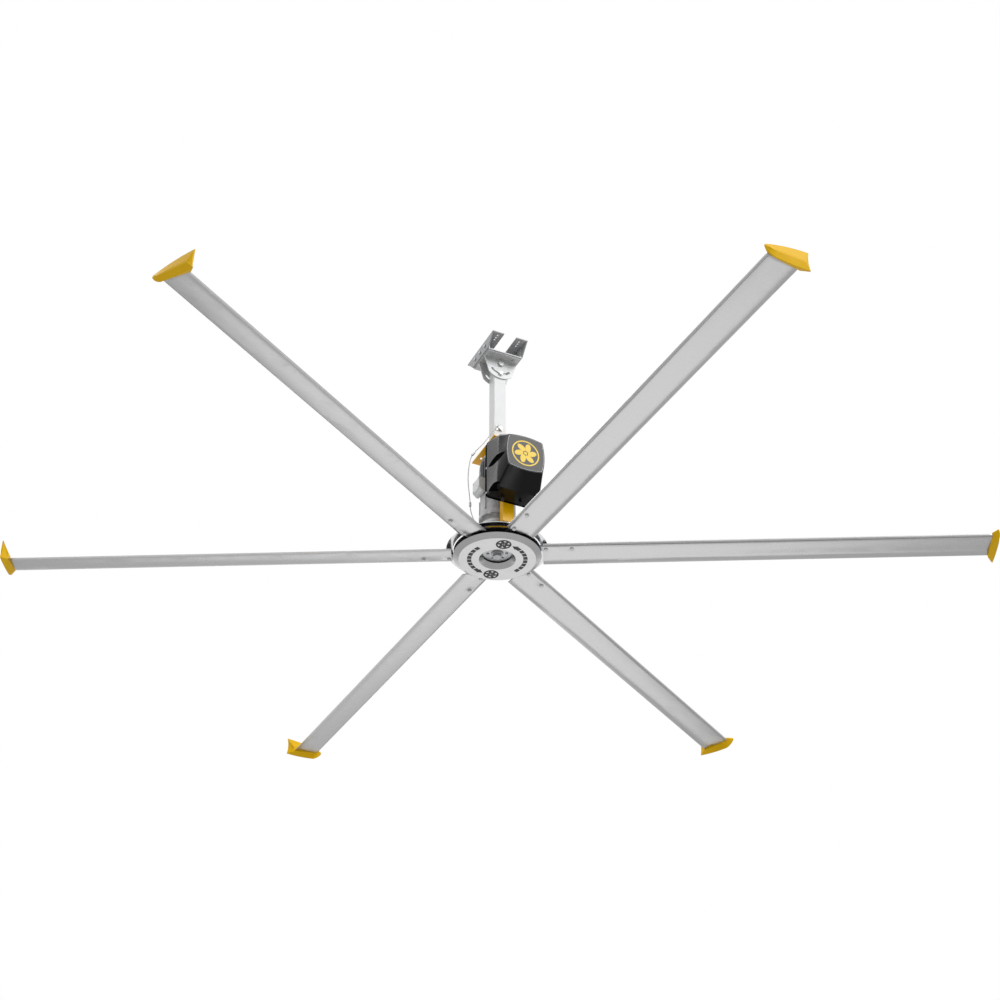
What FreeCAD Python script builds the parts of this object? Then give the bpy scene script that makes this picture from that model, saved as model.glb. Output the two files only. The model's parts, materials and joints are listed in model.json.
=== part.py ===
import FreeCAD, Part
import math
import os
import Sketcher
from FreeCAD import Placement, Rotation, Vector

# High volume low speed fan: a swivel mount for a roof beam, a square downrod, a frame with
# gearmotor and drive, and a six-blade rotor.
# Frame: +Z up, origin in the beam plane on top of the mount, the fan's axis along Z and the
# drive cover on the -Y side. Levels are heights above the blade plane.

doc = FreeCAD.newDocument("fan")
dim = doc.addObject("Spreadsheet::Sheet", "Dim")

SIZES = {
    # Mount
    "drop": 1268, "angle_length": 316, "angle_foot_length": 190, "angle_flange": 66,
    "angle_height": 68, "angle_wall": 6, "angle_spread": 202, "beam_hole_radius": 5.5,
    "beam_hole_inset": 39, "beam_hole_reach": 113.5, "beam_hole_pitch": 19,
    "saddle_length": 190, "saddle_wall": 6, "saddle_side": 62, "mount_bolt_radius": 5,
    "side_bolt_pitch": 60, "side_bolt_drop": 36, "swivel_wall": 6, "swivel_flange": 56,
    "swivel_radius": 91, "swivel_foot": 58, "swivel_play": 0.5,
    "flange_bolt_spread": 124, "flange_bolt_reach": 62,
    "pivot_drop": 108, "pivot_radius": 8, "slot_radius": 62, "slot_half_angle": 50,
    "slot_play": 0.35, "lock_radius": 6, "lock_washer_radius": 13, "lock_washer_wall": 2.5,
    # Downrod and frame
    "rod_width": 63.5, "rod_wall": 3.2, "post_play": 0.3, "post_wall": 4, "post_length": 170,
    "rod_bolt_radius": 6, "rod_bolt_level": 740, "rod_bolt_pitch": 70,
    "top_plate_level": 606, "top_plate_wall": 6, "top_plate_width": 164, "top_plate_length": 265,
    "plate_slot_spread": 112, "plate_slot_reach": 77, "plate_slot_length": 22, "plate_slot_width": 10,
    "leg_width": 61, "leg_depth": 36, "leg_wall": 5, "leg_front": 128,
    "base_plate_level": 112, "base_plate_wall": 8, "base_plate_width": 128, "base_plate_reach": 66,
    "base_hole_radius": 42,
    # Gearcase and its bolts
    "nose_radius": 75, "nose_drop": 16, "foot_radius": 100, "foot_wall": 14, "foot_bolt_circle": 64,
    "split_level": 196, "split_radius": 92, "split_wall": 10, "split_flat": 88,
    "split_bolt_circle": 85, "split_bolt_start": 40,
    "case_radius": 86, "case_wall": 7, "case_top_level": 322, "case_top_wall": 12,
    "case_bolt_radius": 4, "case_bolt_depth": 10,
    # Output shaft and its bearings
    "shaft_radius": 20, "shaft_shoulder": 24, "shaft_top_radius": 16, "shaft_top_level": 240,
    "shaft_foot_level": 4, "coupling_radius": 66, "coupling_wall": 12, "shaft_play": 0.03,
    "bearing_radius": 40, "bearing_width": 18, "bearing_gap": 14, "seal_radius": 34, "seal_width": 6,
    "seal_play": 0.05,
    # Two-stage gear train, both stages alike
    "tooth_module": 1, "pinion_teeth": 17, "wheel_teeth": 63, "tooth_backlash": 0.14,
    "stage_one_level": 262, "stage_two_level": 214, "wheel_width": 18, "pinion_width": 24,
    "lay_radius": 6, "lay_bearing_radius": 12, "lay_bearing_width": 8, "lay_boss_wall": 4,
    # Motor
    "motor_radius": 72, "motor_wall": 6, "motor_flange_wall": 12, "motor_bolt_circle": 80,
    "motor_floor": 20, "motor_top_level": 545, "motor_cap_height": 35, "motor_shaft_radius": 10,
    "motor_neck_radius": 6.5, "motor_bearing_radius": 23.5, "motor_bearing_width": 14,
    "fin_count": 24, "fin_height": 12, "fin_wall": 3, "fin_low_level": 346, "fin_high_level": 538,
    "core_radius": 38, "core_low_level": 390, "core_high_level": 500, "air_gap": 0.6,
    "winding_overhang": 28, "winding_inset": 4,
    # Junction box and cable glands
    "box_inner": 86, "box_depth": 30, "box_rear": 37, "box_front": 40, "box_low_level": 324,
    "box_high_level": 404, "box_wall": 3, "box_chamfer": 16, "lid_wall": 3, "lead_reach": 10,
    "gland_radius": 8, "gland_length": 20, "gland_bore": 3.6, "lead_radius": 3.5,
    "tray_lead_x": 96, "tray_lead_level": 506, "drive_gland_x": 48, "drive_gland_reach": 160,
    # Drive and its cover
    "cover_width": 250, "cover_low_level": 220, "cover_high_level": 548, "cover_wall": 3,
    "cover_corner": 14, "cover_skirt": 20, "cover_break_depth": 112, "cover_break_lean": 22,
    "cover_depth": 192, "cover_break_width": 230, "cover_break_high_level": 520, "cover_back_bow": 1,
    "cover_break_bow": 4, "cover_face_bow": 9, "cover_face_width": 190, "cover_face_low_level": 304,
    "cover_face_high_level": 489, "cover_play": 0.5, "cover_screw_radius": 2.5,
    "cover_screw_pitch": 147, "cover_screw_depth": 12, "tray_wall": 3, "tray_side": 20,
    "panel_inset": 5, "panel_wall": 2.5, "panel_sink": 2, "scoop_depth": 1.8, "scoop_inner": 88,
    "scoop_high_near": 28, "scoop_high_far": 184, "scoop_high_height": 42, "scoop_high_level": 380,
    "scoop_low_near": 30, "scoop_low_far": 126, "scoop_low_height": 34, "scoop_low_level": 236,
    "drive_width": 160, "drive_depth": 92, "drive_low_level": 262, "drive_high_level": 470,
    "tray_bolt_radius": 4, "tray_bolt_spread": 36, "tray_bolt_low_level": 246,
    "tray_bolt_high_level": 515,
    # Hub, struts and hub cover
    "hub_radius": 150, "hub_low_level": -16, "hub_high_level": 32, "recess_radius": 84,
    "boss_radius": 68, "boss_level": 62, "hub_bolt_radius": 4, "hub_bolt_circle": 46,
    "flange_radius": 214, "flange_level": 10, "flange_wall": 4, "centre_bolt_radius": 12,
    "centre_bolt_length": 54, "centre_washer_radius": 30,
    "centre_washer_wall": 6, "strut_inner": 86, "strut_outer": 420, "strut_width": 34,
    "strut_wall": 12, "strut_line": 33, "strut_rise": 2, "strut_play": 0.3, "strut_bolt_radius": 5,
    "strut_bolt_inner": 105, "strut_bolt_outer": 135, "dish_wall": 2, "dish_level": -34,
    "dish_radius": 189, "dish_hole": 90, "dish_lip": 27, "dish_lip_radius": 72, "dish_rim_radius": 217,
    "dish_rim_level": -15, "dish_post_radius": 8, "dish_post_circle": 120, "dish_screw_radius": 3,
    "dish_screw_bite": 12,
    # Airfoils, retainer ring and winglets
    "blade_count": 6, "blade_rest_angle": 32.3, "blade_pitch": 8.8, "blade_inner": 224,
    "blade_outer": 2390, "blade_lead": 67, "blade_trail": 80, "blade_crown": 13.5,
    "blade_belly": 8.5, "blade_edge": 0.8, "blade_droop": 4.5, "blade_skin": 2.4, "blade_bolt_radius": 5,
    "blade_bolt_inner": 237, "blade_bolt_outer": 364, "ring_inner": 217, "ring_outer": 251,
    "ring_level": 18.8, "ring_wall": 3, "ring_hole_radius": 5.6, "winglet_stand": 24, "winglet_edge": 4,
    "winglet_ridge": 8, "winglet_nose": 96, "winglet_tail": 118, "winglet_rise": 61, "winglet_fall": 35,
    "tenon_play": 0.3, "tenon_length": 40, "lead_groove": 9, "groove_width": 3.6, "groove_depth": 2.6,
    # Safety cable
    "rope_radius": 2.4, "lug_wall": 4, "lug_reach": 58, "lug_width": 28, "ferrule_radius": 4.5,
    "sleeve_length": 22, "sleeve_bore": 3.4,
}

for row, (alias, size) in enumerate(SIZES.items(), start=1):
    dim.set(f"A{row}", alias)
    dim.set(f"B{row}", str(size))
    dim.setAlias(f"B{row}", alias)
doc.recompute()

nodes = []
UP = Vector(0, 0, 1)
FRONT = Vector(0, -1, 0)
TURN = {"x": Rotation(Vector(0, 1, 0), 90), "y": Rotation(Vector(1, 0, 0), -90), "z": Rotation()}


def val(expression):
    """Number that an expression in the sheet's cells stands for."""
    return float(dim.evalExpression(expression))


def level(expression):
    """Expression of the Z of a level that is given above the blade plane."""
    return f"{expression} - Dim.drop"


def height(expression):
    """Z of a level that is given above the blade plane."""
    return val(level(expression))


def node(item, label):
    """Register an object of the document as a piece of the fan."""
    item.Label = label
    nodes.append(item)
    return item


def feature(name, shape):
    """Piece or tool whose shape is worked out here from the sheet's cells."""
    item = doc.addObject("Part::Feature", name)
    item.Shape = shape
    return item


def slab(name, xs, ys, zs):
    """Box between pairs of expressions along X, Y and Z."""
    box = doc.addObject("Part::Box", name)
    for size, axis, (low, high) in zip(("Length", "Width", "Height"), "xyz", (xs, ys, zs)):
        box.setExpression(size, f"({high}) - ({low})")
        box.setExpression(f"Placement.Base.{axis}", low)
    return box


def bar(name, radius, along, span, **centre):
    """Cylinder along an axis between two expressions, at expressions for the other axes."""
    cylinder = doc.addObject("Part::Cylinder", name)
    cylinder.Placement = Placement(Vector(), TURN[along])
    cylinder.setExpression("Radius", radius)
    cylinder.setExpression("Height", f"({span[1]}) - ({span[0]})")
    for axis, place in {along: span[0], **centre}.items():
        cylinder.setExpression(f"Placement.Base.{axis}", place)
    return cylinder


def fuse(name, *items):
    """Union of several objects."""
    union = doc.addObject("Part::MultiFuse", name)
    union.Shapes = list(items)
    return union


def cut(name, base, *tools):
    """Object with the tools taken out of it."""
    result = doc.addObject("Part::Cut", name)
    result.Base = base
    result.Tool = tools[0] if len(tools) == 1 else fuse(f"{name}_tools", *tools)
    return result


def outline_body(name, plane, corners):
    """Body with a sketch on an origin plane: straight edges between pairs of expressions."""
    body = doc.addObject("PartDesign::Body", name)
    sketch = body.newObject("Sketcher::SketchObject", f"{name}_outline")
    support = next(item for item in body.Origin.OriginFeatures if item.Role == f"{plane}_Plane")
    sketch.AttachmentSupport = [(support, "")]
    sketch.MapMode = "FlatFace"
    points = [Vector(val(across), val(along), 0) for across, along in corners]
    for index, point in enumerate(points):
        sketch.addGeometry(Part.LineSegment(point, points[(index + 1) % len(points)]), False)
    for index, pair in enumerate(corners):
        sketch.addConstraint(Sketcher.Constraint("Coincident", index, 2, (index + 1) % len(points), 1))
        for kind, axis, expression in zip(("DistanceX", "DistanceY"), (-2, -1), pair):
            if expression == "0":
                sketch.addConstraint(Sketcher.Constraint("PointOnObject", index, 1, axis))
                continue
            spot = sketch.addConstraint(Sketcher.Constraint(kind, -1, 1, index, 1, val(expression)))
            sketch.setExpression(f"Constraints[{spot}]", expression)
    return body, sketch


def turned(name, corners):
    """Solid of revolution about the fan's axis, from radius and height expressions."""
    body, sketch = outline_body(name, "XZ", corners)
    revolution = body.newObject("PartDesign::Revolution", f"{name}_turn")
    revolution.Profile = sketch
    revolution.ReferenceAxis = (sketch, ["V_Axis"])
    revolution.Angle = 360
    return body


def prism(name, plane, corners, low, high):
    """Outline on a plane, drawn out between two expressions along the plane's axis."""
    body, sketch = outline_body(name, plane, corners)
    pad = body.newObject("PartDesign::Pad", f"{name}_pad")
    pad.Profile = sketch
    pad.setExpression("Length", f"({high}) - ({low})")
    axis, start = {"XY": ("z", low), "XZ": ("y", high), "YZ": ("x", low)}[plane]
    body.setExpression(f"Placement.Base.{axis}", start)
    return body


def rectangle(left, right, low, high):
    """Corners of a rectangle between expressions."""
    return [(left, low), (right, low), (right, high), (left, high)]


def moved(shape, base, axis=UP):
    """Copy of a shape with its +Z turned to an axis and its origin at a place."""
    copy = shape.copy()
    copy.Placement = Placement(base, Rotation(UP, axis))
    return copy


def hexagon(radius, low, high):
    """Hexagonal prism for a bolt that has this thread radius."""
    corner = 1.9 * radius
    ring = [Vector(corner * math.cos(k * math.pi / 3), corner * math.sin(k * math.pi / 3), low)
            for k in range(7)]
    return Part.Face(Part.makePolygon(ring)).extrude(Vector(0, 0, high - low))


def screw(radius, length):
    """Hexagon screw along +Z with its head's seat at the origin."""
    return hexagon(radius, -1.3 * radius, 0).fuse(Part.makeCylinder(radius, length)).removeSplitter()


def bolt(radius, grip):
    """Hexagon bolt along +Z, and the nut that closes its grip as a second solid."""
    nut_height = 1.6 * radius
    nut = hexagon(radius, grip, grip + nut_height).cut(Part.makeCylinder(radius, grip + nut_height))
    return [screw(radius, grip + nut_height + 0.4 * radius), nut]


def group(label, shapes):
    """Separate solids that share one node."""
    return node(feature(label, Part.makeCompound(shapes)), label)


def ring_places(count, radius, start=0.0):
    """Places evenly spaced on a circle about the fan's axis."""
    return [Vector(radius * math.cos(math.radians(start + k * 360 / count)),
                   radius * math.sin(math.radians(start + k * 360 / count)), 0) for k in range(count)]


def holes(name, radius, places, low, high):
    """Upright drills through a list of places, as one tool."""
    drills = [Part.makeCylinder(radius, high - low, Vector(place.x, place.y, low)) for place in places]
    return feature(name, Part.makeCompound(drills))


# Mount: beam angles, saddle channel, swivel plates and their bolts
ANGLE_FACE = "Dim.angle_spread / 2"
SADDLE_FACE = f"{ANGLE_FACE} - Dim.angle_wall"
WEB_LOW = "-Dim.angle_height - Dim.saddle_wall"
FLANGE_LOW = f"{WEB_LOW} - Dim.swivel_wall"
SWIVEL_INNER = "Dim.rod_width / 2 + Dim.swivel_play"
SWIVEL_OUTER = f"{SWIVEL_INNER} + Dim.swivel_wall"


def beam_angle(label, side):
    """Angle under the beam: upright outer flange with cut-back ends, level flange with holes."""
    face = f"{side} * ({ANGLE_FACE})"
    inside = f"{side} * ({SADDLE_FACE})"
    lip = f"{side} * ({ANGLE_FACE} - Dim.angle_flange)"
    low, high = (face, inside) if side < 0 else (inside, face)
    upright = prism(f"{label}_upright", "YZ",
                    [("-Dim.angle_length / 2", "0"), ("-Dim.angle_foot_length / 2", "-Dim.angle_height"),
                     ("Dim.angle_foot_length / 2", "-Dim.angle_height"), ("Dim.angle_length / 2", "0")],
                    low, high)
    low, high = (face, lip) if side < 0 else (lip, face)
    flange = slab(f"{label}_flange", (low, high), ("-Dim.angle_length / 2", "Dim.angle_length / 2"),
                  ("-Dim.angle_wall", "0"))
    row = val(f"{side} * ({ANGLE_FACE} - Dim.beam_hole_inset)")
    reach, pitch = val("Dim.beam_hole_reach"), val("Dim.beam_hole_pitch")
    places = [Vector(row, end * reach + step * pitch, 0) for end in (-1, 1) for step in (-1, 0, 1)]
    drills = holes(f"{label}_holes", val("Dim.beam_hole_radius"), places, val("-Dim.angle_wall") - 1, 1)
    sides = [bar(f"{label}_side_hole_{k}", "Dim.mount_bolt_radius", "x",
                 (f"{side} * ({ANGLE_FACE}) - 10", f"{side} * ({ANGLE_FACE}) + 10"),
                 y=f"{k} * Dim.side_bolt_pitch", z="-Dim.side_bolt_drop") for k in (-1, 0, 1)]
    return node(cut(label, fuse(f"{label}_blank", upright, flange), drills, *sides), label)


beam_angle("beam_angle_left", -1)
beam_angle("beam_angle_right", 1)

flange_bolts = [Vector(x * val("Dim.flange_bolt_spread / 2"), y * val("Dim.flange_bolt_reach"), 0)
                for x in (-1, 1) for y in (-1, 1)]
saddle = prism("saddle_profile", "XZ",
               [(f"-({SADDLE_FACE})", WEB_LOW), (SADDLE_FACE, WEB_LOW),
                (SADDLE_FACE, f"{WEB_LOW} + Dim.saddle_side"),
                (f"{SADDLE_FACE} - Dim.saddle_wall", f"{WEB_LOW} + Dim.saddle_side"),
                (f"{SADDLE_FACE} - Dim.saddle_wall", f"{WEB_LOW} + Dim.saddle_wall"),
                (f"Dim.saddle_wall - ({SADDLE_FACE})", f"{WEB_LOW} + Dim.saddle_wall"),
                (f"Dim.saddle_wall - ({SADDLE_FACE})", f"{WEB_LOW} + Dim.saddle_side"),
                (f"-({SADDLE_FACE})", f"{WEB_LOW} + Dim.saddle_side")],
               "-Dim.saddle_length / 2", "Dim.saddle_length / 2")
saddle_drills = [bar(f"saddle_side_hole_{k}", "Dim.mount_bolt_radius", "x",
                     (f"-({ANGLE_FACE})", ANGLE_FACE), y=f"{k} * Dim.side_bolt_pitch",
                     z="-Dim.side_bolt_drop") for k in (-1, 0, 1)]
node(cut("saddle_channel", saddle,
         holes("saddle_web_holes", val("Dim.mount_bolt_radius"), flange_bolts,
               val(WEB_LOW) - 1, val(f"{WEB_LOW} + Dim.saddle_wall") + 1), *saddle_drills),
     "saddle_channel")


def arc_slot(name, half_width, low, high):
    """Slot about the pivot along Y: a sector of a ring with round ends."""
    radius, half_angle = val("Dim.slot_radius"), val("Dim.slot_half_angle")
    sector = Part.makeCylinder(radius + half_width, high - low, Vector(), UP, 2 * half_angle)
    sector = sector.cut(Part.makeCylinder(radius - half_width, high - low))
    ends = [Part.makeCylinder(half_width, high - low, Vector(radius * math.cos(math.radians(turn)),
                                                             radius * math.sin(math.radians(turn)), 0))
            for turn in (0, 2 * half_angle)]
    shape = sector.fuse(ends).removeSplitter()
    shape.Placement = Placement(Vector(0, low, -val("Dim.pivot_drop")),
                                TURN["y"] * Rotation(UP, 90 - half_angle))
    return feature(name, shape)


def swivel_plate(label, side):
    """Half-moon plate with its folded flange under the saddle, pivot hole and arc slot."""
    near, far = f"{side} * ({SWIVEL_INNER})", f"{side} * ({SWIVEL_OUTER})"
    tip = f"{side} * ({SWIVEL_INNER} + Dim.swivel_flange)"
    thick = (far, near) if side < 0 else (near, far)
    reach = (tip, near) if side < 0 else (near, tip)
    across = ("-Dim.swivel_radius", "Dim.swivel_radius")
    flange = slab(f"{label}_flange", across, reach, (FLANGE_LOW, WEB_LOW))
    cheek = slab(f"{label}_cheek", across, thick, ("-Dim.pivot_drop", WEB_LOW))
    moon = bar(f"{label}_moon", "Dim.swivel_radius", "y", thick, z="-Dim.pivot_drop")
    above = slab(f"{label}_above", ("-2 * Dim.swivel_radius", "2 * Dim.swivel_radius"), thick,
                 (WEB_LOW, f"{WEB_LOW} + Dim.swivel_radius"))
    low = "-Dim.pivot_drop - Dim.swivel_radius"
    slants = [prism(f"{label}_slant_{k}", "XZ",
                    [(f"{k} * Dim.swivel_radius", FLANGE_LOW), (f"{2 * k} * Dim.swivel_radius", FLANGE_LOW),
                     (f"{2 * k} * Dim.swivel_radius", low), (f"{k} * Dim.swivel_foot", low)], *thick)
              for k in (-1, 1)]
    blank = cut(f"{label}_blank", fuse(f"{label}_sum", flange, cheek, moon), above, *slants)
    pivot = bar(f"{label}_pivot_hole", "Dim.pivot_radius", "y", thick, z="-Dim.pivot_drop")
    slot = arc_slot(f"{label}_slot", val("Dim.lock_radius + Dim.slot_play"), val(thick[0]), val(thick[1]))
    drills = holes(f"{label}_flange_holes", val("Dim.mount_bolt_radius"), flange_bolts,
                   val(FLANGE_LOW) - 1, val(WEB_LOW) + 1)
    return node(cut(label, blank, pivot, slot, drills), label)


swivel_plate("swivel_plate_front", -1)
swivel_plate("swivel_plate_rear", 1)

mount_bolts = []
for place in flange_bolts:
    for part in bolt(val("Dim.mount_bolt_radius"), val("Dim.swivel_wall + Dim.saddle_wall")):
        mount_bolts.append(moved(part, place + Vector(0, 0, val(FLANGE_LOW))))
for side in (-1, 1):
    for k in (-1, 0, 1):
        seat = Vector(side * val(ANGLE_FACE), k * val("Dim.side_bolt_pitch"), -val("Dim.side_bolt_drop"))
        for part in bolt(val("Dim.mount_bolt_radius"), val("Dim.angle_wall + Dim.saddle_wall")):
            mount_bolts.append(moved(part, seat, Vector(-side, 0, 0)))
group("mount_bolts", mount_bolts)

pivot_seat = Vector(0, -val(SWIVEL_OUTER), -val("Dim.pivot_drop"))
group("pivot_bolt", [moved(part, pivot_seat, -FRONT)
                     for part in bolt(val("Dim.pivot_radius"), 2 * val(SWIVEL_OUTER))])

# Downrod with its rounded top, and the lock bolt that rides in the arc slots
ROD_HALF = "Dim.rod_width / 2"
ROD_FOOT = level("Dim.top_plate_level + Dim.top_plate_wall")
ROD_BOLTS = ("Dim.rod_bolt_level", "Dim.rod_bolt_level - Dim.rod_bolt_pitch")
rod_span = (f"-({ROD_HALF})", ROD_HALF)
bore_span = (f"Dim.rod_wall - {ROD_HALF}", f"{ROD_HALF} - Dim.rod_wall")
rod_body = slab("rod_body", rod_span, rod_span, (ROD_FOOT, "-Dim.pivot_drop"))
rod_head = bar("rod_head", ROD_HALF, "y", rod_span, z="-Dim.pivot_drop")
rod_bore = slab("rod_bore", bore_span, bore_span, (ROD_FOOT, "0"))
rod_drills = [
    bar("rod_pivot_hole", "Dim.pivot_radius + 0.05", "y", rod_span, z="-Dim.pivot_drop"),
    bar("rod_lock_hole", "Dim.lock_radius", "y", rod_span, z="-Dim.pivot_drop - Dim.slot_radius")]
rod_drills += [bar(f"rod_foot_hole_{k}", "Dim.rod_bolt_radius", "y", rod_span, z=level(place))
               for k, place in enumerate(ROD_BOLTS)]
node(cut("downrod", fuse("rod_blank", rod_body, rod_head), rod_bore, *rod_drills), "downrod")

lock_gap = 0.1
lock_face = val(SWIVEL_OUTER) + lock_gap
lock_axis_z = -val("Dim.pivot_drop + Dim.slot_radius")
washer = Part.makeCylinder(val("Dim.lock_washer_radius"), val("Dim.lock_washer_wall"))
washer = washer.cut(Part.makeCylinder(val("Dim.lock_radius"), val("Dim.lock_washer_wall")))
lock_seat = lock_face + val("Dim.lock_washer_wall")
lock_parts = [moved(part, Vector(0, -lock_seat, lock_axis_z), -FRONT)
              for part in bolt(val("Dim.lock_radius"), 2 * lock_seat)]
lock_parts += [moved(washer, Vector(0, -lock_seat, lock_axis_z), -FRONT),
               moved(washer, Vector(0, lock_face, lock_axis_z), -FRONT)]
group("lock_bolt", lock_parts)

# Frame: post inside the downrod, top plate, two channel legs and base plate
post_half = f"{ROD_HALF} - Dim.rod_wall - Dim.post_play"
post_span = (f"-({post_half})", post_half)
post_bore = (f"Dim.post_wall - ({post_half})", f"{post_half} - Dim.post_wall")
post_z = (ROD_FOOT, f"{ROD_FOOT} + Dim.post_length")
post_drills = [bar(f"post_hole_{k}", "Dim.rod_bolt_radius", "y", rod_span, z=level(place))
               for k, place in enumerate(ROD_BOLTS)]
node(cut("frame_post", slab("post_blank", post_span, post_span, post_z),
         slab("post_bore", post_bore, post_bore, post_z), *post_drills), "frame_post")

plate_blank = prism("top_plate_blank", "XY",
                    rectangle("-Dim.top_plate_width / 2", "Dim.top_plate_width / 2",
                              "-Dim.top_plate_length / 2", "Dim.top_plate_length / 2"),
                    level("Dim.top_plate_level"), ROD_FOOT)
plate_slots = []
for x in (-1, 1):
    for y in (-1, 1):
        spans = [(f"{middle} - Dim.{size} / 2", f"{middle} + Dim.{size} / 2") for middle, size in
                 ((f"{x} * Dim.plate_slot_spread / 2", "plate_slot_width"),
                  (f"{y} * Dim.plate_slot_reach", "plate_slot_length"))]
        plate_slots.append(slab(f"plate_slot_{x + 1}{y + 1}", *spans,
                                (level("Dim.top_plate_level"), ROD_FOOT)))
node(cut("frame_top_plate", plate_blank, *plate_slots), "frame_top_plate")

BASE_TOP = level("Dim.base_plate_level + Dim.base_plate_wall")
tray_bolt_places = [(x, f"Dim.tray_bolt_{end}_level") for x in (-1, 1) for end in ("low", "high")]


def frame_leg(label, side):
    """Channel leg with its web outside and its flanges towards the gearmotor."""
    web, open_edge = f"{side} * Dim.leg_front", f"{side} * (Dim.leg_front - Dim.leg_depth)"
    inner = f"{side} * (Dim.leg_front - Dim.leg_wall)"
    half, core = "Dim.leg_width / 2", "Dim.leg_width / 2 - Dim.leg_wall"
    blank = prism(f"{label}_profile", "XY",
                  [(f"-{half}", web), (half, web), (half, open_edge), (core, open_edge), (core, inner),
                   (f"-({core})", inner), (f"-({core})", open_edge), (f"-{half}", open_edge)],
                  BASE_TOP, level("Dim.top_plate_level"))
    if side > 0:
        return node(blank, label)
    drills = [bar(f"{label}_hole_{k}", "Dim.tray_bolt_radius", "y", (web, inner),
                  x=f"{x} * Dim.tray_bolt_spread / 2", z=level(place))
              for k, (x, place) in enumerate(tray_bolt_places)]
    return node(cut(label, blank, *drills), label)


frame_leg("frame_leg_front", -1)
frame_leg("frame_leg_rear", 1)

foot_places = ring_places(4, val("Dim.foot_bolt_circle"), 45)
base_half = [("Dim.leg_width / 2", "-Dim.leg_front"),
             ("Dim.leg_width / 2", "Dim.leg_depth - Dim.leg_front"),
             ("Dim.base_plate_width / 2", "-Dim.base_plate_reach"),
             ("Dim.base_plate_width / 2", "Dim.base_plate_reach"),
             ("Dim.leg_width / 2", "Dim.leg_front - Dim.leg_depth"), ("Dim.leg_width / 2", "Dim.leg_front")]
base_blank = prism("base_plate_blank", "XY",
                   base_half + [(f"-{across}", along) for across, along in reversed(base_half)],
                   level("Dim.base_plate_level"), BASE_TOP)
node(cut("frame_base_plate", base_blank,
         bar("base_plate_bore", "Dim.base_hole_radius", "z", (level("Dim.base_plate_level"), BASE_TOP)),
         holes("base_plate_holes", val("Dim.case_bolt_radius"), foot_places,
               height("Dim.base_plate_level") - 1, val(BASE_TOP) + 1)), "frame_base_plate")

frame_bolts = []
for place, lug in zip(ROD_BOLTS, ("Dim.lug_wall", "0")):
    seat = Vector(0, -val(f"{ROD_HALF} + {lug}"), height(place))
    frame_bolts += [moved(part, seat, -FRONT)
                    for part in bolt(val("Dim.rod_bolt_radius"), val(f"Dim.rod_width + {lug}"))]
for x, place in tray_bolt_places:
    seat = Vector(x * val("Dim.tray_bolt_spread / 2"), -val("Dim.leg_front + Dim.tray_wall"), height(place))
    frame_bolts += [moved(part, seat, -FRONT)
                    for part in bolt(val("Dim.tray_bolt_radius"), val("Dim.tray_wall + Dim.leg_wall"))]
group("frame_bolts", frame_bolts)

# Gearcase halves, split above the nose that stands on the base plate
FOOT = "Dim.base_plate_level + Dim.base_plate_wall"
SEAL_TOP = f"{FOOT} + Dim.seal_width"
LOW_BEARING_TOP = f"{SEAL_TOP} + Dim.bearing_width"
HIGH_BEARING = f"{LOW_BEARING_TOP} + Dim.bearing_gap"
HIGH_BEARING_TOP = f"{HIGH_BEARING} + Dim.bearing_width"
CASE_INNER = "Dim.case_radius - Dim.case_wall"
CASE_ROOF = "Dim.case_top_level - Dim.case_top_wall"
CENTRES = "(Dim.pinion_teeth + Dim.wheel_teeth) * Dim.tooth_module / 2"
LAY_FOOT = "Dim.split_level - Dim.lay_bearing_width"
LAY_TOP = f"{CASE_ROOF} - 2"
split_places = [spot for start in (0, val("Dim.split_bolt_start"), -val("Dim.split_bolt_start"))
                for spot in ring_places(2, val("Dim.split_bolt_circle"), start)]
motor_places = ring_places(4, val("Dim.motor_bolt_circle"), 45)


def case_flats(name, low, high):
    """Tools that trim the split flange flat beside the two legs."""
    wide = ("-2 * Dim.split_radius", "2 * Dim.split_radius")
    return [slab(f"{name}_flat_{k}", wide, span, (level(low), level(high)))
            for k, span in enumerate((("-2 * Dim.split_radius", "-Dim.split_flat"),
                                      ("Dim.split_flat", "2 * Dim.split_radius")))]


nose = turned("gearcase_nose", [
    ("Dim.seal_radius", level(FOOT)), ("Dim.foot_radius", level(FOOT)),
    ("Dim.foot_radius", level(f"{FOOT} + Dim.foot_wall")),
    ("Dim.nose_radius", level("Dim.split_level - Dim.split_wall - Dim.nose_drop")),
    ("Dim.nose_radius", level("Dim.split_level - Dim.split_wall")),
    ("Dim.split_radius", level("Dim.split_level - Dim.split_wall")),
    ("Dim.split_radius", level("Dim.split_level")), ("Dim.shaft_shoulder + 2", level("Dim.split_level")),
    ("Dim.shaft_shoulder + 2", level(HIGH_BEARING_TOP)), ("Dim.bearing_radius", level(HIGH_BEARING_TOP)),
    ("Dim.bearing_radius", level(HIGH_BEARING)), ("Dim.bearing_radius - 10", level(HIGH_BEARING)),
    ("Dim.bearing_radius - 10", level(LOW_BEARING_TOP)), ("Dim.bearing_radius", level(LOW_BEARING_TOP)),
    ("Dim.bearing_radius", level(SEAL_TOP)), ("Dim.seal_radius", level(SEAL_TOP))])
node(cut("gearcase_lower", nose,
         bar("lay_seat_low", "Dim.lay_bearing_radius", "z", (level(LAY_FOOT), level("Dim.split_level")),
             y=CENTRES),
         *case_flats("gearcase_lower", f"{FOOT} - 1", "Dim.split_level + 1"),
         holes("split_holes_low", val("Dim.case_bolt_radius"), split_places,
               height("Dim.split_level - Dim.split_wall") - 1, height("Dim.split_level") + 1),
         holes("foot_holes", val("Dim.case_bolt_radius"), foot_places, height(FOOT) - 1,
               height(f"{FOOT} + Dim.foot_wall"))), "gearcase_lower")

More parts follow.
